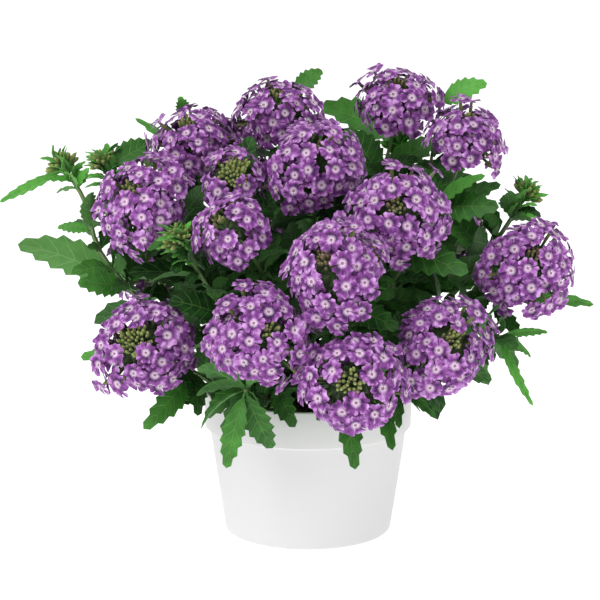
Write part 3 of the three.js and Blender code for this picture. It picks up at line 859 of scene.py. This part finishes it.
def headParts(shape, index):
    draw = random.Random(headShape["seed"] + index)
    petals, greens = [], []
    spread = shape["spread"]
    core = headShape["coreRadius"] * spread
    outlook = headShape["outlook"] * cos(radians(shape["lift"]))
    begin = draw.uniform(0, 360)
    budEdge = cos(radians(shape["budAngle"]))
    last = cos(radians(headShape["lastAngle"]))
    # The florets underneath get only the darkest tones: painted shade, where the outer florets shade them
    for cover, swell, opening, tones in (
            (headShape["cover"], 1.0, shape["budAngle"] + 1, (0.15, 1.0)),
            (headShape["underCover"], headShape["underSwell"], shape["budAngle"] + 8, (0.0, 0.25))):
        first = cos(radians(opening))
        area = 2 * pi * (headShape["side"] * swell * spread) ** 2 * (first - last) * headShape["packing"]
        count = round(cover * area / (pi * floret["radius"] ** 2))
        for i in range(count):
            level = first + (last - first) * (i + 0.5) / count
            down = acos(level) + radians(draw.uniform(-4, 4))
            around = radians(begin + i * headShape["goldenAngle"] + draw.uniform(-8, 8))
            stray = headShape["strayReach"] if draw.random() < headShape["strays"] else 0
            further = swell * draw.uniform(*headShape["swell"]) + draw.uniform(0, stray)
            at, faces = domePlace(shape, down, around, further)
            stagger = headShape["lean"] * Vector([draw.uniform(-1, 1) for _ in range(3)])
            leaning = (faces + outlook * up + stagger).normalized()
            size = draw.uniform(*headShape["florets"])
            spin = Matrix.Rotation(draw.uniform(0, 2 * pi), 4, "Z")
            place = Matrix.Translation(at) @ turnTo(leaning) @ spin @ Matrix.Scale(size, 4)
            petals.append(copyOf(draw.choice(floretModels), place, draw.uniform(*tones)))
            toCore = at - leaning * floret["tubeLength"] * headShape["sunk"]
            stretch = max(0.6, (toCore.length - 0.8 * core) / calyx["length"])
            place = Matrix.Translation(toCore) @ turnTo(toCore.normalized())
            place = place @ Matrix.Diagonal((1, 1, stretch, 1)) @ Matrix.Translation((0, 0, -calyx["length"]))
            greens.append(copyOf(calyxModel, place, draw.uniform(0, 0.6)))
    # Unopened buds in the middle, closer together and facing more alike than the florets
    budArea = 2 * pi * (headShape["side"] * spread) ** 2 * (1 - budEdge) * 0.8
    budRoom = headShape["budPacking"] * headShape["budStep"] ** 2
    budCount = max(headShape["fewestBuds"], round(budArea / budRoom))
    for i in range(budCount):
        level = 1 - (1 - budEdge) * (i + 0.4) / budCount
        down = acos(level) + radians(draw.uniform(-2, 2))
        around = radians(begin + 40 + i * headShape["goldenAngle"] + draw.uniform(-12, 12))
        at, faces = domePlace(shape, down, around, draw.uniform(*headShape["budSwell"]))
        size = draw.uniform(*headShape["budSize"])
        tone = min(1.0, max(0.0, shape["ripeness"] + draw.uniform(-0.3, 0.3)))
        stagger = Vector((draw.uniform(-0.3, 0.3), draw.uniform(-0.3, 0.3), 0))
        place = Matrix.Translation(at) @ turnTo((faces + at.normalized() + stagger).normalized())
        spin = Matrix.Rotation(draw.uniform(0, 6.28), 4, "Z")
        place = place @ spin @ Matrix.Diagonal((size, size, headShape["budLength"] * size, 1))
        greens.append(copyOf(budModel, place @ Matrix.Translation((0, 0, -bud["length"])), tone))
    greens.append(copyOf(coreModel, Matrix.Diagonal((core, core, 1.1 * core, 1)), 0.3))
    return petals, greens


for index, shape in enumerate(heads):
    petals, greens = headParts(shape, index)
    place = Matrix.Translation(shape["at"]) @ turnTo(shape["axis"])
    for kind, parts in (("florets", petals), ("calyxes", greens)):
        obj = join(parts, f"{kind}_{shape['name']}")
        obj.data.transform(place)
        shape[kind] = obj
    finishPiece(shape["florets"], "petals", f"flower_head_{shape['name']}")
    finishPiece(shape["calyxes"], "leaves")
print("Flower heads made:", len(heads))


# Stems: the same lines as the solids have

youngStems = [
    ("far_left", (-44, 2), [(-94, -18, 140), (-127, -24, 182), (-135, -20, 210), (-148, -12, 230)], True),
    ("far_right", (42, 10), [(92, 6, 150), (118, 6, 184), (134, 10, 208.5)], True),
    ("lower_right", (48, -18), [(74, -34, 112), (116, -36, 131)], False),
    ("front_left", (-26, -42), [(-33, -66, 112), (-37, -92, 110)], False),
    ("inner", (-28, -28), [(-52, -50, 150), (-76, -66, 194)], True),
    ("back_left", (-46, 14), [(-98, 28, 158), (-128, 34, 224)], True),
    ("back", (34, 36), [(60, 68, 150), (60, 92, 234)], True),
    ("high_left", (-20, 26), [(-48, 50, 160), (-78, 42, 258)], False),
    ("high_middle", (-2, 20), [(-6, 56, 170), (-11, 57, 268)], False),
    ("high_right", (32, 18), [(66, 46, 162), (84, 56, 262)], False),
]
stem = {
    "width": 2.8 * mm,
    "joints": 5,
    "holeDepth": 14 * mm,
    "points": 22,
    "taper": 0.75,
    "corner": 0.62,  # how far a corner lies out, as a share of the width
    "groove": 0.8,  # how far the middle of a side lies out, as a share of its corner's distance
}


def bezierLine(ends):
    a, b, c, d = ends
    return lambda t: a * (1 - t) ** 3 + b * 3 * t * (1 - t) ** 2 + c * 3 * t * t * (1 - t) + d * t ** 3


def throughPoints(points):  # a centripetal Catmull-Rom line
    full = [2 * points[0] - points[1]] + points + [2 * points[-1] - points[-2]]

    def at(t):
        share = (len(points) - 1) * t
        i = min(int(share), len(points) - 2)
        w = share - i
        p0, p1, p2, p3 = full[i:i + 4]
        d0, d1, d2 = [(b - a).length ** 0.5 for a, b in ((p0, p1), (p1, p2), (p2, p3))]
        out = ((p1 - p0) / d0 - (p2 - p0) / (d0 + d1) + (p2 - p1) / d1) * d1
        back = ((p2 - p1) / d1 - (p3 - p1) / (d1 + d2) + (p3 - p2) / d2) * d1
        square, cube = 3 * (p2 - p1) - 2 * out - back, 2 * (p1 - p2) + out + back
        return p1 + out * w + square * w ** 2 + cube * w ** 3
    return at


fineSteps = [i / 200 for i in range(201)]


def lengthsAlong(line):  # how far along the line each of its fine steps lies
    fine = [line(t) for t in fineSteps]
    lengths = [0.0]
    for a, b in zip(fine, fine[1:]):
        lengths.append(lengths[-1] + (b - a).length)
    return lengths


def evenly(line, count):  # points at equal distances along a line
    lengths = lengthsAlong(line)
    shares = np.interp([lengths[-1] * i / count for i in range(count + 1)], lengths, fineSteps)
    return [line(share) for share in shares]


shoots = []
for shape in heads:
    start = Vector((*shape["foot"], soil["top"] - stem["holeDepth"]))
    end = shape["at"] - shape["axis"] * (headShape["coreDepth"] * shape["spread"] + pot["gap"])
    span = (end - start).length
    rising = start + Vector((0.1 * start.x, 0.1 * start.y, 0.42 * span))
    arriving = end - shape["axis"] * 0.3 * span
    shoots.append({"name": shape["name"], "line": bezierLine([start, rising, arriving, end]), "tuft": False})
for name, foot, via, tufted in youngStems:
    low = Vector((foot[0] * mm, foot[1] * mm, soil["top"] - stem["holeDepth"]))
    high = low + Vector((0, 0, 2 * stem["holeDepth"]))
    line = throughPoints([low, high] + [Vector(p) * mm for p in via])
    shoots.append({"name": name, "line": line, "tuft": tufted})


def squareProfile():
    outline = bpy.data.curves.new("stemProfile", "CURVE")
    outline.dimensions = "2D"
    spline = outline.splines.new("POLY")
    spline.points.add(7)
    for k in range(8):
        reach = stem["corner"] * stem["width"] * (1 if k % 2 == 0 else stem["groove"] * cos(pi / 4))
        turn = pi / 4 * k
        spline.points[k].co = (reach * cos(turn), reach * sin(turn), 0, 1)
    spline.use_cyclic_u = True
    return addObject("stemProfile", outline)


def makeStem(name, line, profile):
    curve = bpy.data.curves.new(name, "CURVE")
    curve.dimensions = "3D"
    curve.bevel_mode = "OBJECT"
    curve.bevel_object = profile
    curve.use_fill_caps = True
    spline = curve.splines.new("POLY")
    spline.points.add(stem["points"])
    for k, at in enumerate(evenly(line, stem["points"])):
        spline.points[k].co = (*at, 1)
        spline.points[k].radius = 1 + (stem["taper"] - 1) * k / stem["points"]
    pickOnly(addObject(name, curve))
    bpy.ops.object.convert(target="MESH")
    obj = bpy.context.object
    editMode(obj)
    bpy.ops.mesh.remove_doubles(threshold=0.01 * mm)
    closeMesh()
    dress(obj, stemSkin, 50)
    return obj


# Leaves: two models, one with fine teeth for the leaves that show and one with coarse teeth for the rest

leaf = {
    "length": 40 * mm,
    "width": 20 * mm,
    "thickness": 0.35 * mm,
    "petiole": 0.1,  # share of the length, before the blade widens
    "notch": 0.76,  # width between two teeth, as a share of the width at a tooth
    "lean": 0.03,  # how far a tooth points forward, as a share of the length
    "puff": 0.7 * mm,  # height of the quilting between side veins
    "seat": 0.04,  # how far under its joint a leaf grows, as a share of the way to the joint below
    "arch": 0.1,
    "fold": 0.2,
    "shortest": 0.55,
    "shorter": 0.15,  # by how much of its length a leaf without room is shortened each time
}


def bladeHalf(t):  # half width at a share of the length: widest a little past the middle
    if t <= leaf["petiole"]:
        return 0.05
    share = (t - leaf["petiole"]) / (1 - leaf["petiole"])
    return 0.05 + 0.45 * sin(pi * share ** 0.85) ** 0.8


def makeLeaf(name, columns, teeth):
    length = leaf["length"]
    rows = 2 * teeth
    blade = addStrip(columns, rows, length)
    for i in reversed(range(rows + 1)):
        t = i / rows
        tooth = i % 2 == 1
        half = 0 if i == rows else bladeHalf(t) * (1 if tooth or t <= leaf["petiole"] else leaf["notch"])
        half *= leaf["width"]

        def pickRow(beyond):  # the row's vertices that lie further than this from the midrib
            near = 0.2 * length / rows
            pickVerts(blade, lambda v: abs(v.co.y - t * length) < near and abs(v.co.x) > beyond)

        pickRow(-1)
        bpy.ops.transform.resize(value=(2 * half / length, 1, 1), center_override=(0, t * length, 0))
        if tooth:
            pickRow(0.8 * half)
            bpy.ops.transform.translate(value=(0, leaf["lean"] * length, -0.3 * leaf["puff"]))
        elif half > 0.1 * leaf["width"]:
            pickRow(0.3 * half)
            bpy.ops.transform.translate(value=(0, 0, leaf["puff"]))
    bpy.ops.mesh.select_all(action="SELECT")
    bpy.ops.mesh.remove_doubles(threshold=0.02 * mm)
    objectMode()
    blade.data.materials.append(leafUpper)
    blade.data.materials.append(leafUnder)
    addModifier(blade, "SOLIDIFY", thickness=leaf["thickness"], offset=-1, material_offset=1)
    smooth(blade, 60)
    blade.name = name
    return blade


fineLeaf = makeLeaf("fineLeaf", 4, leafTeeth)
plainLeaf = makeLeaf("plainLeaf", 2, 4)

# Leaves that show, by their stem: at which of its joints, where the tip points, width and roll
shownLeaves = {
    "far_left": [(3, (-176, -24, 185), 28, 70), (3, (-139, -36, 163.5), 17, 70),
        (5, (-187, -20, 210), 7, 70), (4, (-152, -22, 195), 8, -60), (4, (-132, -32, 218), 14, -60),
        (3, (-116, 20, 190), 20, 40)],
    "low_left": [(4, (-140, -40, 116), 15, -60), (3, (-98, -72, 82), 18, 60), (3, (-66, -64, 88), 14, 10)],
    "front_left": [(5, (-48, -101, 66), 15, 10), (5, (-26, -103, 76), 18, 10),
        (3, (-61, -80, 91), 15, -40)],
    "low_centre_left": [(2, (-8, -94, 89), 17, -40)],
    "low_centre": [(3, (27, -109, 67.5), 16, 10)],
    "low_right": [(2, (49, -97, 75.7), 14, 10), (3, (75, -84, 92), 9, 60), (3, (62, -92, 88), 11, 10),
        (4, (110, -56, 108), 16, -60)],
    "lower_right": [(5, (135, -54, 91.5), 6.5, 60), (5, (145.8, -30, 131.7), 6, -60),
        (5, (135.6, -32, 116.6), 5, -60), (5, (122, -36, 143), 5, 60)],
    "right": [(4, (131, -20, 126.5), 12, 60), (4, (110, -15, 129.7), 13, 10), (4, (177, -2, 143), 11, -60)],
    "far_right": [(4, (106, -24, 186), 22, 70), (3, (140, 34, 168), 20, -50)],
    "top_right": [(4, (116, -14, 206), 22, 70), (4, (110, -8, 217), 14, 70), (4, (120, -4, 226), 12, 70),
        (3, (76, -24, 214), 20, 140)],
    "top_right_back": [(4, (23, 44, 246), 26, 70), (4, (88, 66, 236), 20, 40)],
    "top_left": [(4, (10, 60, 246), 18, 60), (4, (-50, 42, 224), 20, 60)],
    "upper_left": [(4, (-122, 24, 232), 20, 60)],
    "left": [(4, (-78, -72, 176), 18, 10), (3, (-112, -6, 168), 20, 40)],
    "centre_right": [(4, (94, -68, 176), 23, 60), (3, (24, -56, 196), 20, 60)],
    "centre": [(4, (52, -96, 148), 18, -60), (3, (-18, -84, 160), 18, -70)],
    "inner": [(3, (-86, -48, 158), 20, -60)],
    "top_centre": [(4, (42, -20, 214), 20, 60), (4, (-12, -58, 197), 18, 60), (3, (-30, -34, 200), 20, 60)],
    "back_left": [(3, (-142, 36, 150), 22, 40), (4, (-112, 70, 200), 20, 40), (5, (-98, 46, 238), 18, 60)],
    "high_left": [(4, (-108, 38, 253), 8, 60), (5, (-80, 34, 268), 10, 150)],
    "high_middle": [(5, (6.3, 45, 281.7), 14, 60)],
    "high_right": [(5, (112.5, 46, 275.3), 18, 60)],
    "back": [(5, (8, 70, 258), 28, 60), (4, (104, 92, 218), 20, 40), (3, (58, 110, 178), 22, 40)],
    "back_right": [(3, (126, 50, 150), 22, 40), (2, (98, 70, 112), 20, 40)],
    "back_low_right": [(3, (66, 104, 88), 20, 60)],
    "back_low_mid": [(3, (-16, 110, 94), 20, 60), (4, (4, 112, 176), 20, 40)],
    "back_low_left": [(3, (-120, 78, 106), 20, 60), (4, (-60, 106, 176), 20, 40)],
    "back_high_left": [(4, (-98, 74, 206), 20, 40)],
    "back_high_right": [(4, (-14, 108, 196), 20, 40)],
}


def bladeFrame(root, tip, roll):  # the roll turns the upper face from the sky to the plant's outside
    along = tip - root
    length = along.length
    along = along.normalized()
    outward = Vector((root.x, root.y, 0)).normalized()
    across = along.cross(outward if abs(along.z) > 0.85 else up).normalized()
    side = 1 if across.dot(outward) < 0 else -1
    across = Matrix.Rotation(radians(side * roll), 3, along) @ across
    return {"root": root, "along": along, "across": across, "above": across.cross(along), "length": length}


def bladePoints(blade, shares, sides, lift):  # arrays: share of the length, distance across, height above
    bow = leaf["arch"] * blade["length"] * 4 * shares * (1 - shares) + leaf["fold"] * np.abs(sides) + lift
    return (np.array(blade["root"])
            + np.outer(shares * blade["length"], blade["along"])
            + np.outer(sides, blade["across"])
            + np.outer(bow, blade["above"]))


room = {  # what a leaf keeps clear of, and by how much
    "potTop": 2 * mm,
    "potSide": 3 * mm,
    "headSide": 1.12,  # half sizes of a head's ellipsoid to its spread: to the side, above and below
    "headRise": 0.86,
    "headDepth": 0.62,
    "reach": 6 * mm,  # how far round a leaf others are looked for
    "stemStep": 4 * mm,  # between the points that stand for a stem
    "shown": (4 * mm, 4.5 * mm, 1.0),  # from stems, from other leaves, and share of the heads' ellipsoids
    "inner": (2 * mm, 2.2 * mm, 0.9),
}

# Points of a leaf that are tested for room: shares of its length, and of its half width to each side
sampleShares = np.repeat(np.arange(1, 9) / 8, 5)
sampleSides = np.tile([-1, -0.5, 0, 0.5, 1], 8)
sampleHalf = 0.52 * np.sin(np.pi * np.minimum(1, 0.12 + 0.88 * sampleShares) ** 0.9)
nearRoot = sampleShares < 0.4  # these may lie close to other leaves of the same stem
headAt = np.array([shape["at"] for shape in heads])
headAxis = np.array([shape["axis"] for shape in heads])
headSpread = np.array([shape["spread"] for shape in heads])
stemAt, stemOn = [], []
for number, shoot in enumerate(shoots):
    points = evenly(shoot["line"], ceil(lengthsAlong(shoot["line"])[-1] / room["stemStep"]))
    stemAt += [tuple(p) for p in points]
    stemOn += [number] * len(points)
stemAt, stemOn = np.array(stemAt), np.array(stemOn)
takenAt, takenOn = np.zeros((0, 3)), np.zeros(0, int)


def nearest(points, others):
    if not len(others):
        return np.full(len(points), 1.0)
    return np.sqrt(((points[:, None] - others[None]) ** 2).sum(2)).min(1)


def isClear(points, on, stemRoom, leafRoom, headRoom):
    low = points[:, 2] < pot["height"] + room["potTop"]
    if (low & (np.hypot(points[:, 0], points[:, 1]) < pot["rimRadius"] + room["potSide"])).any():
        return False
    offset = points[:, None] - headAt[None]
    rise = (offset * headAxis[None]).sum(2)
    side = np.sqrt(np.maximum(0, (offset ** 2).sum(2) - rise ** 2))
    height = np.where(rise > 0, room["headRise"], room["headDepth"]) * headSpread * headRoom
    if ((side / (room["headSide"] * headSpread * headRoom)) ** 2 + (rise / height) ** 2 < 1).any():
        return False
    middle = points.mean(0)
    reach = np.sqrt(((points - middle) ** 2).sum(1)).max() + room["reach"]
    near = ((stemAt - middle) ** 2).sum(1) < reach ** 2
    if (nearest(points, stemAt[near & (stemOn != on)]) < stemRoom).any():
        return False
    near = ((takenAt - middle) ** 2).sum(1) < reach ** 2
    if (nearest(points, takenAt[near & (takenOn != on)]) < leafRoom).any():
        return False
    return not (nearest(points[~nearRoot], takenAt[near & (takenOn == on)]) < leafRoom).any()


swings = [0, 12, -12, 24, -24, 38, -38, 54, -54, 75, -75, 100, -100, 130, -130]
lifts = [0, 12, -12, 26, -26, 42, -42]


def take(points, on):
    global takenAt, takenOn
    takenAt = np.vstack([takenAt, points])
    takenOn = np.concatenate([takenOn, np.full(len(points), on)])


def bentClear(on, root, tip, width, roll):  # the same steps that the solids' leaves are placed by
    reach = tip - root
    size = 1.0
    while size >= leaf["shortest"]:
        for lift in lifts:
            for swing in swings:
                turn = atan2(reach.y, reach.x) + radians(swing)
                rise = atan2(reach.z, hypot(reach.x, reach.y)) + radians(lift)
                far = size * reach.length
                flat = cos(rise)
                way = Vector((flat * cos(turn), flat * sin(turn), sin(rise)))
                blade = bladeFrame(root, root + far * way, roll)
                points = bladePoints(blade, sampleShares, sampleSides * sampleHalf * size * width, 0)
                if isClear(points, on, *room["shown"]):
                    take(points, on)
                    return blade, size * width
        size -= leaf["shorter"]
    return None


def bendLeaf(model, blade, width, tone):
    obj = copyOf(model, Matrix.Identity(4), tone)
    flat = np.zeros(len(obj.data.vertices) * 3, np.float32)
    obj.data.vertices.foreach_get("co", flat)
    x, y, z = flat.reshape(-1, 3).astype(float).T
    bent = bladePoints(blade, y / leaf["length"], x * width / leaf["width"], z)
    obj.data.vertices.foreach_set("co", bent.astype(np.float32).ravel())
    return obj


names = [shoot["name"] for shoot in shoots]
leafDraw = random.Random(21)
mound = {  # an ellipsoid that holds the heads and the leaves between them
    "centre": (0, 0, 150 * mm),
    "half": (124 * mm, 114 * mm, 106 * mm),
    "shade": (0.85, 1.35),  # painted shade: leaves with their tips in here darken, as if shaded by the mound; as shares of its half sizes
    "tones": (0.35, 0.95),
}


# Painted shade: a leaf whose tip lies deep in the mound gets a darker tone, standing in for the shade of the
# heads and leaves around it
def leafToneWithPaintedShade(tip):
    reach = sqrt(sum(((tip[k] - mound["centre"][k]) / mound["half"][k]) ** 2 for k in range(3)))
    low, high = mound["shade"]
    return leafDraw.uniform(*mound["tones"]) * min(1.0, max(0.0, (reach - low) / (high - low)))


for shoot in shoots:
    shoot["leaves"] = []
bent = 0
for name, leaves in shownLeaves.items():
    on = names.index(name)
    spine = evenly(shoots[on]["line"], stem["joints"])
    for joint, tip, width, roll in leaves:
        root = spine[joint].lerp(spine[joint - 1], leaf["seat"])
        tip = Vector(tip) * mm
        found = bentClear(on, root, tip, width * mm, roll)
        if found:
            blade, wide = found
            shoots[on]["leaves"].append(bendLeaf(fineLeaf, blade, wide, leafToneWithPaintedShade(tip)))
            bent += 1
print("Outer leaves placed:", bent, "of", sum(map(len, shownLeaves.values())))

foliage = {
    # Where pairs of leaves grow, as shares of a stem
    "nodes": [0.26, 0.34, 0.42, 0.50, 0.58, 0.66, 0.74, 0.82, 0.90, 0.96],
    "lengths": [(20 * mm, 38 * mm), (13 * mm, 24 * mm)],  # one round of leaves after the other
    "slimness": (0.42, 0.58),
    "lean": (0.15, 0.7),  # how much a leaf points along its stem
    "turns": [0, 30, -30, 55, -55, 80, -80],
    "rolls": (10, 60),
    # Painted shade: the inner leaves get only the dark end of the tones, for the shade inside the mound
    "tones": (0.0, 0.35),
    "steps": 60,  # points along a stem
    "stray": 0.02,  # how far a pair grows from its place, as a share of the stem
    "lowest": 6 * mm,  # above the soil
    "youngReach": 1.3,  # leaves of the young stems may lie this much further out to the sides
    "seed": 33,
}


def fillMound():
    draw = random.Random(foliage["seed"])
    centre, half = np.array(mound["centre"]), np.array(mound["half"])
    count = 0
    rounds = [(lengths, on, shoot) for lengths in foliage["lengths"] for on, shoot in enumerate(shoots)]
    for lengths, on, shoot in rounds:
        points = evenly(shoot["line"], foliage["steps"])
        begin = draw.uniform(0, 360)
        reach = foliage["youngReach"] if on >= len(heads) else 1
        bounds = half * (reach, reach, 1)
        for k, share in enumerate(foliage["nodes"]):
            i = round(foliage["steps"] * (share + draw.uniform(-foliage["stray"], foliage["stray"])))
            root = points[i]
            tangent = (points[i + 1] - points[i - 1]).normalized()
            if root.z < soil["top"] + foliage["lowest"]:
                continue
            for opposite in (0, 180):
                length = draw.uniform(*lengths)
                width = length * draw.uniform(*foliage["slimness"])
                lean = draw.uniform(*foliage["lean"])
                roll = draw.uniform(*foliage["rolls"])
                tone = draw.uniform(*foliage["tones"])
                for turn in foliage["turns"]:
                    around = radians(begin + 90 * k + opposite + turn)
                    out = turnTo(tangent).to_3x3() @ Vector((cos(around), sin(around), 0))
                    blade = bladeFrame(root, root + (out + lean * tangent).normalized() * length, roll)
                    samples = bladePoints(blade, sampleShares, sampleSides * sampleHalf * width, 0)
                    inside = ((((samples - centre) / bounds) ** 2).sum(1) < 1).all()
                    if inside and isClear(samples, on, *room["inner"]):
                        take(samples, on)
                        shoot["leaves"].append(bendLeaf(plainLeaf, blade, width, tone))
                        count += 1
                        break
    return count


print("Inner leaves placed:", fillMound())

tuft = {
    "buds": 30,
    "size": (0.85, 1.2),
    "widest": 80,  # how far the buds spread from the line of the stem, in degrees
    # How far below the top, number of leaves, how much they lean along the stem
    "whorls": [(0, 8, 1.1), (4 * mm, 8, 0.8), (9 * mm, 8, 0.6), (14 * mm, 6, 0.5)],
    "leafLength": (12 * mm, 20 * mm),
    "leafWidth": 6.5 * mm,
    "leafTones": (0.7, 1.0),
    "budTones": (0.0, 0.3),
    "seat": 1.5 * mm,  # how much deeper than its place in the list a whorl sits
    "budSeat": 1.2 * mm,
    "seed": 60,
}


def makeTuft(line, seed):
    draw = random.Random(seed)
    end = line(1.0)
    tangent = (end - line(0.98)).normalized()
    place = Matrix.Translation(end) @ turnTo(tangent)
    parts = []
    for i in range(tuft["buds"]):
        down = radians(tuft["widest"]) * sqrt((i + 0.5) / tuft["buds"])
        around = radians(i * headShape["goldenAngle"])
        way = Vector((sin(down) * cos(around), sin(down) * sin(around), cos(down)))
        size = draw.uniform(*tuft["size"])
        spin = Matrix.Translation(way * tuft["budSeat"]) @ turnTo(way) @ Matrix.Scale(size, 4)
        parts.append(copyOf(budModel, place @ spin, draw.uniform(*tuft["budTones"])))
    for below, leaves, lean in tuft["whorls"]:
        for i in range(leaves):
            around = 2 * pi * (i + draw.uniform(-0.25, 0.25)) / leaves + below / mm
            way = place.to_3x3() @ Vector((cos(around), sin(around), lean * draw.uniform(0.7, 1.6)))
            length = draw.uniform(*tuft["leafLength"])
            root = end - tangent * (below + tuft["seat"])
            blade = bladeFrame(root, root + way.normalized() * length, draw.uniform(0, 40))
            parts.append(bendLeaf(plainLeaf, blade, tuft["leafWidth"], draw.uniform(*tuft["leafTones"])))
    return parts


profile = squareProfile()
for number, shoot in enumerate(shoots):
    parts = [makeStem("stem", shoot["line"], profile)] + shoot["leaves"]
    if shoot["tuft"]:
        parts += makeTuft(shoot["line"], tuft["seed"] + number)
    finishPiece(join(parts, f"leafyStem_{shoot['name']}"), "leaves", f"leafy_stem_{shoot['name']}")
for model in [petalModel, calyxModel, budModel, coreModel, fineLeaf, plainLeaf, profile] + floretModels:
    bpy.data.objects.remove(model)
print("Leafy stems made:", len(shoots))


# Floor, light and camera

studio = {
    "floorSize": 40.0,
    "floorColour": 0xF8F8F8,
    "floorGlow": 0.62,  # a lit table, as in a product photo
    "sky": 0xFFFFFF,
    "skyStrength": 0.5,
    "lampSize": 1.8,
    "lamps": {"key": (52, (-1.5, -1.4, 2.3)), "fill": (10, (1.9, -1.2, 1.0))},  # watts and place
    "lampsLookAt": (0, 0, 0.15),
}


def makeStudio():
    bpy.ops.mesh.primitive_plane_add(size=studio["floorSize"])
    floor = join([bpy.context.object], "studioFloor")
    material, tree = newMaterial("paintedStudioFloor")
    closeMaterial(tree, {
        "Base Color": linear(studio["floorColour"]),
        "Roughness": 0.9,
        "Specular IOR Level": 0.0,
        "Emission Color": linear(studio["floorColour"]),
        "Emission Strength": studio["floorGlow"],
    })
    floor.data.materials.append(material)
    floor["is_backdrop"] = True
    world = bpy.data.worlds.new("studioSky")
    bpy.context.scene.world = world
    world.use_nodes = True
    sky = world.node_tree.nodes["Background"]
    sky.inputs["Color"].default_value = linear(studio["sky"])
    sky.inputs["Strength"].default_value = studio["skyStrength"]
    for name, (watts, at) in studio["lamps"].items():
        light = bpy.data.lights.new(name, "AREA")
        light.energy = watts
        light.size = studio["lampSize"]
        lamp = addObject(name, light)
        lamp.location = at
        looking = Vector(studio["lampsLookAt"]) - Vector(at)
        lamp.rotation_euler = looking.to_track_quat("-Z", "Y").to_euler()
    bpy.context.scene.view_settings.view_transform = "Standard"


view = {"lens": 135, "sensor": 36, "distance": 1.395, "pitch": 11.5, "target": (-0.005, 0, 0.1455)}


def makeCamera():
    data = bpy.data.cameras.new("photoView")
    data.lens = view["lens"]
    data.sensor_width = view["sensor"]
    data.clip_end = 60
    pitch = radians(view["pitch"])
    looking = Vector((0, cos(pitch), -sin(pitch)))
    camera = addObject("photoView", data)
    camera.location = Vector(view["target"]) - looking * view["distance"]
    camera.rotation_euler = looking.to_track_quat("-Z", "Y").to_euler()
    bpy.context.scene.camera = camera


makeStudio()
makeCamera()
faces = sum(len(o.data.loop_triangles) or len(o.data.polygons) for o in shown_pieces() if o.type == "MESH")
print("Studio ready, faces in all:", faces)
